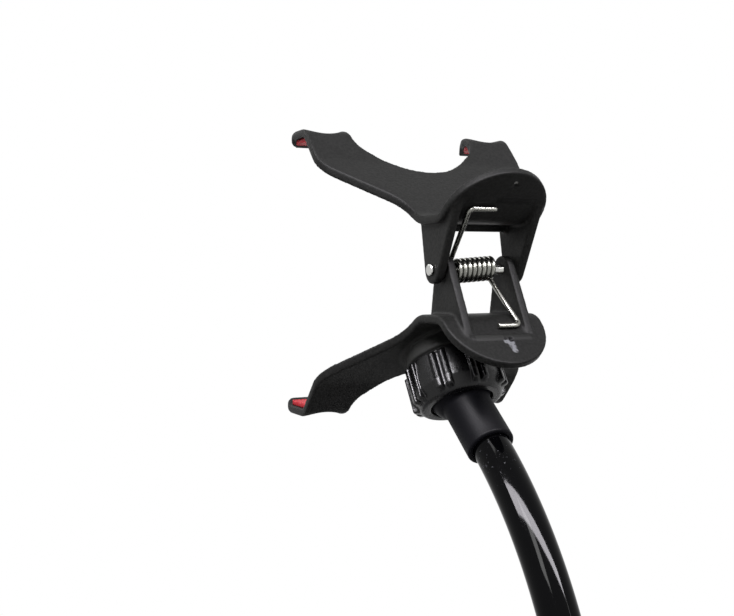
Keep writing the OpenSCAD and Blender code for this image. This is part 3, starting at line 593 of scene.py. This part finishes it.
def jaw_plastic(name, rgb):
    """The jaws' matte plastic: a fine grain with a coarser one over it, and rougher on the ball socket's
    dome. The dome is also painted paler, a painted light for the light that the arch shades off it. The stop
    bars get painted light and shade, and the finger tabs the gates' marks."""
    s = Shader(name)
    fine = s.noise(0.17 * MM, 3.0, 0.65)
    slow = s.noise(8 * MM, 3.0, 0.55)
    coarse = s.noise(0.7 * MM, 3.0, 0.65)
    dome_up, dome_r, dome_end = 9.5 * MM, 11.4 * MM, 12.6 * MM
    dome = s.near(BALL + dome_up * SOCKET_AXIS, dome_r, dome_end)
    tone = s.mix(slow, shade(rgb, 0.85), shade(rgb, 1.15))
    dark, light = s.mix(0.6, tone, shade(rgb, 0.6)), s.mix(0.6, tone, shade(rgb, 1.4))
    tone = s.mix(s.grade(coarse, 0.35, 0.65, 0.0, 1.0), dark, light)
    # painted light: the dome is painted four times paler, standing in for the light that the arch shades off
    # it
    tone = s.mix(s.maths("MULTIPLY", dome, 0.7), tone, shade(rgb, 4.0))
    # painted light and shade on the stop bars
    tone = with_painted_bar_light(s, tone, rgb)
    s.set(
        Base_Color=with_gate_wear_and_pit_shade(s, tone, rgb),
        Roughness=s.maths("ADD", s.grade(slow, 0.3, 0.7, 0.46, 0.54), s.maths("MULTIPLY", dome, 0.06)),
        Normal=s.bump(coarse, 0.055 * MM, s.bump(fine, 0.012 * MM)),
    )
    s.surface.inputs["Specular IOR Level"].default_value = 0.065
    return s.material


def sheath_plastic(name, rgb):
    """The arm's gloss sheath: drawn plastic with a faint waviness, fine marks, and specks of dust below the
    ball stem."""
    s = Shader(name)
    wave = s.noise(14 * MM, 2.0, 0.5)
    mark = s.noise(0.5 * MM, 5.0, 0.75)
    speck = s.grade(s.noise(0.8 * MM, 4.0, 0.6), 0.63, 0.67, 0.0, 1.0)
    mouth_down, full_r, none_r = 24 * MM, 5 * MM, 10 * MM
    dust = s.maths("MULTIPLY", speck, s.near(BALL + mouth_down * STEM_AXIS, full_r, none_r))
    s.set(
        Base_Color=s.mix(dust, s.mix(wave, shade(rgb, 0.8), shade(rgb, 1.3)), (0.06, 0.06, 0.07, 1)),
        Roughness=s.maths("ADD", s.grade(mark, 0.45, 0.8, 0.06, 0.14), s.maths("MULTIPLY", dust, 0.3)),
        Normal=s.bump(wave, 0.05 * MM),
    )
    s.surface.inputs["Specular IOR Level"].default_value = 0.065
    return s.material


def drawn_metal(name, rgb, roughness):
    """Plated wire or rod: fine drawing marks and slightly uneven brightness."""
    s = Shader(name)
    mark = s.noise(0.45 * MM, 3.0, 0.5)
    slow = s.noise(2.5 * MM, 2.0, 0.5)
    s.set(
        Base_Color=s.mix(slow, shade(rgb, 0.85), shade(rgb, 1.08)),
        Metallic=1.0,
        Roughness=s.grade(mark, 0.3, 0.75, roughness - 0.02, roughness + 0.08),
        Normal=s.bump(mark, 0.0008 * MM),
    )
    return s.material


def soft_rubber(name, rgb, roughness=0.5):
    """Moulded rubber: a dull skin with a fine bloom."""
    s = Shader(name)
    fine = s.noise(0.14 * MM, 3.0, 0.6)
    slow = s.noise(3 * MM, 3.0, 0.6)
    s.set(
        Base_Color=s.mix(slow, shade(rgb, 0.8), shade(rgb, 1.15)),
        Roughness=s.grade(slow, 0.3, 0.7, roughness - 0.06, roughness + 0.08),
        Normal=s.bump(fine, 0.01 * MM),
    )
    s.surface.inputs["Specular IOR Level"].default_value = 0.15
    return s.material


def finish_of(name):
    """The holder's finish for that material, made at its first use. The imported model's own flat material
    keeps the plain name."""
    label = name + "_finish"
    tint = settings().finish
    makers = {
        "jaw_plastic": lambda: jaw_plastic(label, tint.jaw),
        "nut_plastic": lambda: moulded_plastic(label, tint.nut, 0.3, 0.24, 0.5 * MM, 0.055 * MM),
        "stem_plastic": lambda: moulded_plastic(label, tint.sleeve, 0.46, 0.05, 0.2 * MM, 0.008 * MM),
        "sheath_plastic": lambda: sheath_plastic(label, tint.sheath),
        "clamp_plastic": lambda: moulded_plastic(label, tint.clamp, 0.5, 0.2, 0.3 * MM, 0.03 * MM),
        "red_rubber": lambda: soft_rubber(label, tint.rubber),
        "black_rubber": lambda: soft_rubber(label, tint.pad, 0.62),
        "bright_steel": lambda: drawn_metal(label, tint.zinc, 0.2),
        "spring_steel": lambda: drawn_metal(label, tint.nickel, 0.22),
        "screw_steel": lambda: drawn_metal(label, tint.nickel, 0.3),
        "core_metal": lambda: drawn_metal(label, tint.nickel, 0.35),
        "insert_brass": lambda: drawn_metal(label, tint.brass, 0.28),
    }
    return bpy.data.materials.get(label) or makers[name]()


# Pieces


def make_jaw(jaw, level, gate, way, face):
    """One moulded jaw. The gate's dimple lies on its finger tab's inner face and points along way, into the
    tab. That face's plane is the given distance from the pin."""
    way = np.array(way)

    def finish(points):
        return dimple(lowered(points, -way, -face, jaw), gate, jaw.gate_r, jaw.gate_depth, way)

    node = level + "_jaw"
    piece = skinned(node, node + "_moulding", jaw.cell, jaw.relax, finish)
    dress(piece, finish_of("jaw_plastic"), level + "_clip", node)


def make_claw_pad(level, side):
    """One red rubber pad."""
    cell, relax = 0.2 * MM, 5
    node = f"{level}_pad_{side}"
    piece = skinned(node, f"{level}_rubber_{side}", cell, relax)
    dress(piece, finish_of("red_rubber"), level + "_clip", node)


def wire_line(spring):
    """The spring wire's middle line, and the x of the coil's right end: upper foot, upper leg, coil, lower
    leg, lower foot, with bends one wire diameter round. A point of the coil is x, R cos a, R sin a +
    (x - middle) tan tilt, where a falls evenly, and both legs leave it as tangents on its front side."""
    upper = np.array([-spring.upper_back, spring.upper_up])
    lower = np.array([-spring.lower_back, -spring.lower_down])
    r = spring.coil_r
    leave = math.atan2(upper[1], upper[0]) - math.acos(r / np.linalg.norm(upper))
    land = math.atan2(lower[1], lower[0]) + math.acos(r / np.linalg.norm(lower))
    sweep = 2 * math.pi * spring.turns + (leave - land) % (2 * math.pi)
    wide = spring.pitch * sweep / (2 * math.pi)
    k = np.linspace(0, 1, 40 * spring.turns)
    a = leave - sweep * k
    lift = wide * (k - 0.5) * math.tan(math.radians(spring.tilt))
    coil = np.stack([spring.left_x + wide * k, r * np.cos(a), r * np.sin(a) + lift], axis=1)
    right_x = spring.left_x + wide

    def leg(foot_x, foot, reach, coil_end):
        """From the foot's tip round the bend to the coil's end."""
        tip = np.array([foot_x + reach, *foot])
        bend = corner_arc(tip, np.array([foot_x, *foot]), coil_end, spring.wire_d, 10)
        shank = tip + (bend[0] - tip) * np.linspace(0, 1, 6)[:-1, None]
        straight = bend[-1] + (coil_end - bend[-1]) * np.linspace(0, 1, 9)[1:-1, None]
        return np.concatenate([shank, bend, straight])

    first = leg(spring.left_x - spring.splay, upper, spring.upper_foot, coil[0])
    last = leg(right_x + spring.splay, lower, -spring.lower_foot, coil[-1])
    return PIN + np.concatenate([first, coil, last[::-1]]), right_x


def make_spring(spring):
    """The torsion spring: a tube along the wire's line, with the spring's material, set in place."""
    line, right_x = wire_line(spring)
    piece = tube("spring_wire", line, spring.wire_d / 2, sides=20, ease=0.2 * MM)
    piece.data.materials.append(finish_of("spring_steel"))
    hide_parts("torsion_spring")
    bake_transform(piece)


def make_pin(ball):
    """The hinge pin: a rod with a domed head at each end."""
    half, top, dome = ball.pin_half, ball.pin_half + ball.head_t, 0.45 * MM
    outline = round_corners([
        (0, -top, 0), (ball.head_r, -top, dome), (ball.head_r, -half, 0), (ball.pin_r, -half, 0),
        (ball.pin_r, half, 0), (ball.head_r, half, 0), (ball.head_r, top, dome), (0, top, 0),
    ])
    pin = turned("pin_rod", outline, axis_frame(PIN, (1, 0, 0)), 48, closed=False)
    dress(pin, finish_of("bright_steel"), "lower_clip", "hinge_pin")


def nut_outline(ball):
    """The lock nut's section: bore, rim, belly, tapered end, mouth, and the seat that presses the collet."""
    up, down, r = ball.nut_up, ball.nut_down, ball.nut_r
    rim_w, belly_top, belly_low, taper = 0.5 * MM, 2.5 * MM, -0.4 * MM, 1.4 * MM
    mouth_h, seat_r, seat_z, thread_end = 0.8 * MM, 8.8 * MM, -3 * MM, -0.2 * MM
    outline = round_corners([
        (ball.nut_bore_r, up, 0.1 * MM), (r - rim_w, up, 0.35 * MM), (r, belly_top, 3 * MM),
        (r, belly_low, 1.5 * MM), (r - taper, -down, 1.1 * MM), (ball.mouth_r, -down, 0.3 * MM),
        (ball.mouth_r, mouth_h - down, 0), (seat_r, seat_z, 0), (ball.nut_bore_r, thread_end, 0),
    ])
    return finely(outline, 0.35 * MM)


def make_nut(ball):
    """The lock nut, with its grips. Its points are close together where a rib has its edges."""
    up, r = ball.nut_up, ball.nut_r
    period = 2 * math.pi / ball.grips
    inner = ball.groove_w / 2
    outer = inner + ball.rib_w
    edge = 0.16 * MM
    ends = (-3.2 * MM, -2.5 * MM, up - 0.7 * MM, up - 0.3 * MM)
    skin = 1.5 * MM

    def grips(t, z, radius):
        """Two ribs at each grip, out to one cylinder, with a deeper groove between them, fading out at both
        ends."""
        across = np.abs((t + period / 2) % period - period / 2) * r
        past_groove = smooth_step(across, inner - edge, inner + edge)
        rib = past_groove * (1 - smooth_step(across, outer - edge, outer + edge))
        groove = 1 - past_groove
        raised = (r + ball.grip_h - radius) * rib + np.minimum(0, r - ball.groove_depth - radius) * groove
        reach = smooth_step(z, *ends[:2]) * (1 - smooth_step(z, *ends[2:]))
        return raised * reach * (radius > r - skin)

    edges = [at + k * edge for at in (inner, outer) for k in np.linspace(-1, 1, 7)]
    flats = [0.0, (inner + outer) / 2]
    half = np.concatenate([edges, flats, np.linspace(outer + 2 * edge, period * r / 2, 9)])
    half = np.unique(np.round(np.concatenate([half, -half]) / r, 7))[:-1]
    angles = (np.arange(ball.grips)[:, None] * period + half).ravel()
    nut = turned("nut_with_grips", nut_outline(ball), axis_frame(BALL, SOCKET_AXIS), angles, grips)
    dress(nut, finish_of("nut_plastic"), "nut", "lock_nut")


def make_stem(ball):
    """The ball stem: a ball that runs into a sleeve with a hole for the arm."""
    reach, wall_r = ball.sleeve_reach, ball.sleeve_r
    mouth_r, hole_r = 4.6 * MM, 4.55 * MM
    join = math.sqrt(ball.ball_r ** 2 - wall_r ** 2)
    a = np.linspace(-math.pi / 2, math.asin(join / ball.ball_r), 33)
    sphere = ball.ball_r * np.stack([np.cos(a), np.sin(a)], axis=1)
    sleeve = round_corners([
        (wall_r, join, 0), (wall_r, reach, 0.55 * MM), (mouth_r, reach, 0.2 * MM),
        (hole_r, reach - ball.arm_hole, 0), (0, reach - ball.arm_hole, 0),
    ])
    outline = np.concatenate([sphere, sleeve[1:]])
    stem = turned("ball_and_sleeve", outline, axis_frame(BALL, STEM_AXIS), 96, closed=False)
    dress(stem, finish_of("stem_plastic"), "stem", "ball_stem")


def arm_line(arm, start):
    """The arm's middle line in the plane x = 0, upwards from the start: straight lengths and arcs laid end to
    end. The last arc turns it in line with the ball stem."""
    straight_step, arc_step = 4 * MM, 1.6 * MM
    last_turn = math.degrees(math.atan2(-STEM_AXIS[2], -STEM_AXIS[1])) - 90
    runs = (
        (arm.foot_len, 0), (arm.sway_r, arm.sway_turn), (arm.link_len, 0), (arm.sway_r, -arm.sway_turn),
        (arm.link_len, 0), (arm.top_r, last_turn), (arm.held_len, 0),
    )
    at, heading, line = np.array(start, float), math.pi / 2, []
    for size, degrees in runs:
        turn = math.radians(degrees)
        if turn == 0:
            k = np.linspace(0, size, 2 + int(size / straight_step))[:, None]
            points = at + k * np.array([math.cos(heading), math.sin(heading)])
        else:
            side = math.copysign(1, turn)
            a = heading + np.linspace(0, turn, 2 + int(abs(turn) * size / arc_step))
            centre = at + side * size * np.array([-math.sin(heading), math.cos(heading)])
            points = centre + side * size * np.stack([np.sin(a), -np.cos(a)], axis=1)
            heading += turn
        line.append(points if not line else points[1:])
        at = points[-1]
    line = np.concatenate(line)
    return np.concatenate([np.zeros((len(line), 1)), line], axis=1)


def make_sheath(arm, foot_y):
    """The arm's sheath, a hollow tube along the arm's line."""
    line = arm_line(arm, (foot_y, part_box("arm_sheath")[0].z))
    sheath = tube("arm_tube", line, arm.arm_r, 64, arm.arm_r - arm.wall)
    dress(sheath, finish_of("sheath_plastic"), "arm_and_clamp", "arm_sheath")


def make_collar(arm, foot_y):
    """The sleeve at the arm's foot, narrower towards its rim."""
    low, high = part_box("base_sleeve")
    outer = (high.x - low.x) / 2
    bore, shoulder, rim_w = arm.arm_r + 0.05 * MM, 3 * MM, 1 * MM
    outline = round_corners([
        (outer, low.z, 0.3 * MM), (outer, high.z - shoulder, 2 * MM), (outer - rim_w, high.z, 0.4 * MM),
        (bore, high.z, 0.2 * MM), (bore, low.z, 0),
    ])
    collar = turned("foot_collar", outline, axis_frame((0, foot_y, 0), (0, 0, 1)), 72)
    dress(collar, finish_of("stem_plastic"), "arm_and_clamp", "base_sleeve")


def make_desk_pad(node, body):
    """One black rubber pad of the clamp."""
    cell, relax = 0.25 * MM, 3
    pad = skinned(node, node.replace("pad", "rubber"), cell, relax)
    dress(pad, finish_of("black_rubber"), body, node)


def make_frame():
    """The clamp's moulded frame, and the metal in it and on the screw's neck."""
    cell, relax = 0.45 * MM, 4
    body = skinned("clamp_frame", "clamp_moulding", cell, relax)
    dress(body, finish_of("clamp_plastic"), "arm_and_clamp", "clamp_frame")
    paint("thread_insert", finish_of("insert_brass"))
    paint("arm_screw", finish_of("bright_steel"))
    paint("foot_clip", finish_of("spring_steel"))


def make_screw():
    """The clamp screw. Its thread is a round ridge on a helix: the radius falls with the distance from the
    crest, and the thread fades out at both ends."""
    low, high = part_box("clamp_screw")
    radius, pitch, depth = (high.x - low.x) / 2, 3 * MM, 0.9 * MM
    neck_r, chamfer, shoulder = 3 * MM, 1 * MM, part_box("pressure_foot")[0].z
    z = np.arange(low.z, shoulder - chamfer, pitch / 14)
    flank = np.stack([np.full(len(z), radius), z], axis=1)
    end = np.array([[radius - chamfer, shoulder], [neck_r, shoulder], [neck_r, high.z], [0, high.z]])
    outline = np.concatenate([[[0, low.z], [radius, low.z]], flank, end])

    def thread(t, height, r):
        phase = (height / pitch - t / (2 * math.pi)) % 1
        valley = smooth_step(np.abs(phase - 0.5), 0.16, 0.34)
        below = smooth_step(height, low.z, low.z + pitch)
        above = 1 - smooth_step(height, shoulder - pitch, shoulder - chamfer)
        return -depth * valley * np.minimum(below, above) * (r > radius - 0.01 * MM)

    screw = turned("screw_rod", outline, axis_frame((0, 0, 0), (0, 0, 1)), 72, thread, closed=False)
    dress(screw, finish_of("screw_steel"), "screw", "clamp_screw")


def make_knob():
    """The clamp's knob. Its rim swells at each lobe: the radius is an even wave of the angle."""
    low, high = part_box("clamp_knob")
    outer, lobes, dip, sharpness = (high.x - low.x) / 2, 6, 2.6 * MM, 1.6
    hub_r, hole_r, hole_floor = 9 * MM, 5 * MM, low.z + 5 * MM
    crown_r, crown, rim_top, rim_low = outer - 6 * MM, high.z - 1 * MM, high.z - 4 * MM, low.z + 1.5 * MM
    outline = finely(round_corners([
        (0, low.z, 0), (outer - dip - 1 * MM, low.z, 1.5 * MM), (outer, rim_low, 1.2 * MM),
        (outer, rim_top, 2 * MM), (crown_r, crown, 1.5 * MM), (hub_r, high.z, 1 * MM),
        (hole_r, high.z, 0.3 * MM), (hole_r, hole_floor, 0), (0, hole_floor, 0),
    ]), 0.8 * MM)

    def lobe(t, z, r):
        wave = 0.5 - 0.5 * np.cos(lobes * t)
        return -dip * wave ** sharpness * smooth_step(r, outer - 5 * MM, outer - 1 * MM)

    knob = turned("knob_moulding", outline, axis_frame((0, 0, 0), (0, 0, 1)), 240, lobe, closed=False)
    dress(knob, finish_of("clamp_plastic"), "screw", "clamp_knob")


def make_foot():
    """The pressure foot: a plate with a hub below and a recess above for the clip."""
    low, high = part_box("pressure_foot")
    outer, hub_r, flare, plate_t = (high.x - low.x) / 2, 6.5 * MM, 1.5 * MM, 5 * MM
    bore, recess_r, recess = 3.05 * MM, 6 * MM, 1.2 * MM
    outline = round_corners([
        (outer, high.z - plate_t, 0.5 * MM), (outer, high.z, 0.4 * MM), (recess_r, high.z, 0.2 * MM),
        (recess_r, high.z - recess, 0), (bore, high.z - recess, 0), (bore, low.z, 0.1 * MM),
        (hub_r, low.z, 0.5 * MM), (hub_r + flare, high.z - plate_t, 0.6 * MM),
    ])
    foot = turned("foot_plate", outline, axis_frame((0, 0, 0), (0, 0, 1)), 96)
    dress(foot, finish_of("clamp_plastic"), "foot", "pressure_foot")


# Stage


def make_floor():
    """A plain pale disc under the object, paler where the camera sees it than where it lights the object."""
    radius, below = 0.5, 4 * MM
    centre = (0, 0, CAD_BOX[0].z - below)
    bpy.ops.mesh.primitive_circle_add(vertices=96, radius=radius, fill_type="NGON", location=centre)
    floor = bpy.context.object
    floor.name = "floor"
    s = Shader("pale_floor")
    grain = s.noise(3 * MM, 4.0)
    bounce = s.mix(grain, (0.62, 0.62, 0.62, 1), (0.66, 0.66, 0.66, 1))
    seen = s.mix(grain, (0.9, 0.9, 0.9, 1), (0.94, 0.94, 0.94, 1))
    camera_ray = s.tree.nodes.new("ShaderNodeLightPath").outputs["Is Camera Ray"]
    s.set(Base_Color=s.mix(camera_ray, bounce, seen), Roughness=0.7)
    floor.data.materials.append(s.material)


def make_surroundings():
    """The world lights evenly, and is plain white where the camera, a reflection or clear matter sees it."""
    even_light, white = 0.075, 1.0
    world = bpy.data.worlds.new("white_room")
    bpy.context.scene.world = world
    world.use_nodes = True
    nodes, links = world.node_tree.nodes, world.node_tree.links
    path = nodes.new("ShaderNodeLightPath")
    seen = path.outputs["Is Camera Ray"]
    for ray in ("Is Glossy Ray", "Is Transmission Ray"):
        either = nodes.new("ShaderNodeMath")
        either.operation = "MAXIMUM"
        links.new(seen, either.inputs[0])
        links.new(path.outputs[ray], either.inputs[1])
        seen = either.outputs[0]
    strength = nodes.new("ShaderNodeMapRange")
    links.new(seen, strength.inputs["Value"])
    strength.inputs["To Min"].default_value = even_light
    strength.inputs["To Max"].default_value = white
    background = nodes["Background"]
    background.inputs["Color"].default_value = (1, 1, 1, 1)
    links.new(strength.outputs["Result"], background.inputs["Strength"])


def soft_box(name, place, width, height, power, tint=(1, 1, 1)):
    """A flat lamp that faces the hinge pin, with its place and sizes in metres and its power in watts."""
    light = bpy.data.lights.new(name, "AREA")
    light.shape = "RECTANGLE"
    light.size, light.size_y = width, height
    light.energy = power
    light.color = tint
    lamp = bpy.data.objects.new(name, light)
    lamp.location = place
    lamp.rotation_mode = "QUATERNION"
    lamp.rotation_quaternion = (Vector(PIN) - Vector(place)).to_track_quat("-Z", "Y")
    bpy.context.scene.collection.objects.link(lamp)
    return lamp


def make_lamps():
    """Soft boxes round the clip. The shine strip only shows in gloss, as a reflector card does."""
    soft_box("key_box", (-0.5, -0.45, 0.95), 0.25, 0.35, 5.2)
    soft_box("top_box", (-0.3, 0.05, 1.2), 0.3, 0.3, 2.6)
    soft_box("right_strip", (0.42, -0.62, 0.6), 0.03, 0.8, 0.8)
    soft_box("back_box", (-0.35, 0.75, 0.8), 0.2, 0.3, 1.2)
    strip = soft_box("shine_strip", (-0.27, -0.57, 1.27), 2.4, 0.22, 125.0, (0.97, 0.94, 1.0))
    strip.visible_diffuse = False


def make_camera():
    """The photograph's view: a short telephoto behind and to the left of the clip, level with its pin."""
    yaw, pitch, roll = math.radians(-24.83), math.radians(1.85), math.radians(-0.32)
    place = Vector(PIN) + Vector((-125.07, -209.81, -1.0)) * MM
    data = bpy.data.cameras.new("camera")
    data.sensor_width = 36
    data.lens = 50.76
    data.clip_start = 0.01
    camera = bpy.data.objects.new("camera", data)
    aim = Euler((0, 0, yaw)).to_matrix() @ Euler((math.pi / 2 - pitch, 0, 0)).to_matrix()
    turn = aim @ Euler((0, 0, roll)).to_matrix()
    camera.matrix_world = Matrix.Translation(place) @ turn.to_4x4()
    bpy.context.scene.collection.objects.link(camera)
    bpy.context.scene.camera = camera


# Operators


class PHONEHOLDER_OT_stage(bpy.types.Operator):
    """Make the floor, the white surroundings, the lamps and the camera"""

    bl_idname = "phone_holder.stage"
    bl_label = "Stage"
    bl_options = {"REGISTER", "UNDO"}

    def execute(self, context):
        make_floor()
        make_surroundings()
        make_lamps()
        make_camera()
        context.scene.view_settings.view_transform = "Standard"
        return {"FINISHED"}


class PHONEHOLDER_OT_jaws(bpy.types.Operator):
    """Make the two moulded jaws with their wings, claws and ears"""

    bl_idname = "phone_holder.jaws"
    bl_label = "Jaws"
    bl_options = {"REGISTER", "UNDO"}

    def execute(self, context):
        jaw = settings().jaw
        make_jaw(jaw, "upper", from_pin(1.5, -15.1, 18.5), (0, 0.68, 0.73), jaw.upper_face)
        make_jaw(jaw, "lower", from_pin(2.0, -12.3, -15.7), (0, 0.68, -0.73), jaw.lower_face)
        return {"FINISHED"}


class PHONEHOLDER_OT_claw_pads(bpy.types.Operator):
    """Make the four red rubber pads inside the claws"""

    bl_idname = "phone_holder.claw_pads"
    bl_label = "Claw Pads"
    bl_options = {"REGISTER", "UNDO"}

    def execute(self, context):
        for level in ("upper", "lower"):
            for side in ("left", "right"):
                make_claw_pad(level, side)
        return {"FINISHED"}


class PHONEHOLDER_OT_spring(bpy.types.Operator):
    """Make the torsion spring and the hinge pin"""

    bl_idname = "phone_holder.spring"
    bl_label = "Spring and Pin"
    bl_options = {"REGISTER", "UNDO"}

    def execute(self, context):
        make_spring(settings().spring)
        make_pin(settings().ball)
        return {"FINISHED"}


class PHONEHOLDER_OT_ball_joint(bpy.types.Operator):
    """Make the lock nut with its grips and the ball stem"""

    bl_idname = "phone_holder.ball_joint"
    bl_label = "Ball Joint"
    bl_options = {"REGISTER", "UNDO"}

    def execute(self, context):
        make_nut(settings().ball)
        make_stem(settings().ball)
        return {"FINISHED"}


class PHONEHOLDER_OT_arm(bpy.types.Operator):
    """Make the bendable arm's sheath and the collar at its foot"""

    bl_idname = "phone_holder.arm"
    bl_label = "Arm"
    bl_options = {"REGISTER", "UNDO"}

    def execute(self, context):
        arm = settings().arm
        low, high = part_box("base_sleeve")
        foot_y = (low.y + high.y) / 2
        make_sheath(arm, foot_y)
        paint("arm_core", finish_of("core_metal"))
        make_collar(arm, foot_y)
        return {"FINISHED"}


class PHONEHOLDER_OT_clamp(bpy.types.Operator):
    """Make the desk clamp with its screw, knob, foot and pads"""

    bl_idname = "phone_holder.clamp"
    bl_label = "Desk Clamp"
    bl_options = {"REGISTER", "UNDO"}

    def execute(self, context):
        make_frame()
        make_desk_pad("desk_pad", "arm_and_clamp")
        make_desk_pad("foot_pad", "foot")
        make_screw()
        make_knob()
        make_foot()
        return {"FINISHED"}


class PHONEHOLDER_PT_panel(bpy.types.Panel):
    """Lists the phone holder's pieces and sizes."""

    bl_label = "Phone Holder"
    bl_space_type = "VIEW_3D"
    bl_region_type = "UI"
    bl_category = "Phone Holder"

    def draw(self, context):
        layout = self.layout
        for operator in OPERATORS:
            layout.operator(operator.bl_idname)
        chosen = context.scene.phone_holder
        for group in (chosen.jaw, chosen.spring, chosen.ball, chosen.arm, chosen.finish):
            box = layout.box()
            for key in group.__annotations__:
                box.prop(group, key)


OPERATORS = (
    PHONEHOLDER_OT_stage,
    PHONEHOLDER_OT_jaws,
    PHONEHOLDER_OT_claw_pads,
    PHONEHOLDER_OT_spring,
    PHONEHOLDER_OT_ball_joint,
    PHONEHOLDER_OT_arm,
    PHONEHOLDER_OT_clamp,
)
GROUPS = (JawSizes, SpringSizes, BallSizes, ArmSizes, Finishes, PhoneHolderSettings)


def register():
    """Registers the classes and hangs the settings on the scene."""
    for one in (*GROUPS, *OPERATORS, PHONEHOLDER_PT_panel):
        bpy.utils.register_class(one)
    bpy.types.Scene.phone_holder = PointerProperty(type=PhoneHolderSettings)


def unregister():
    """Takes the settings and the classes away again."""
    del bpy.types.Scene.phone_holder
    for one in reversed((*GROUPS, *OPERATORS, PHONEHOLDER_PT_panel)):
        bpy.utils.unregister_class(one)


def main():
    """Makes the stage and every piece."""
    register()
    for operator in OPERATORS:
        group, name = operator.bl_idname.split(".")
        getattr(getattr(bpy.ops, group), name)()


if __name__ == "__main__":
    main()
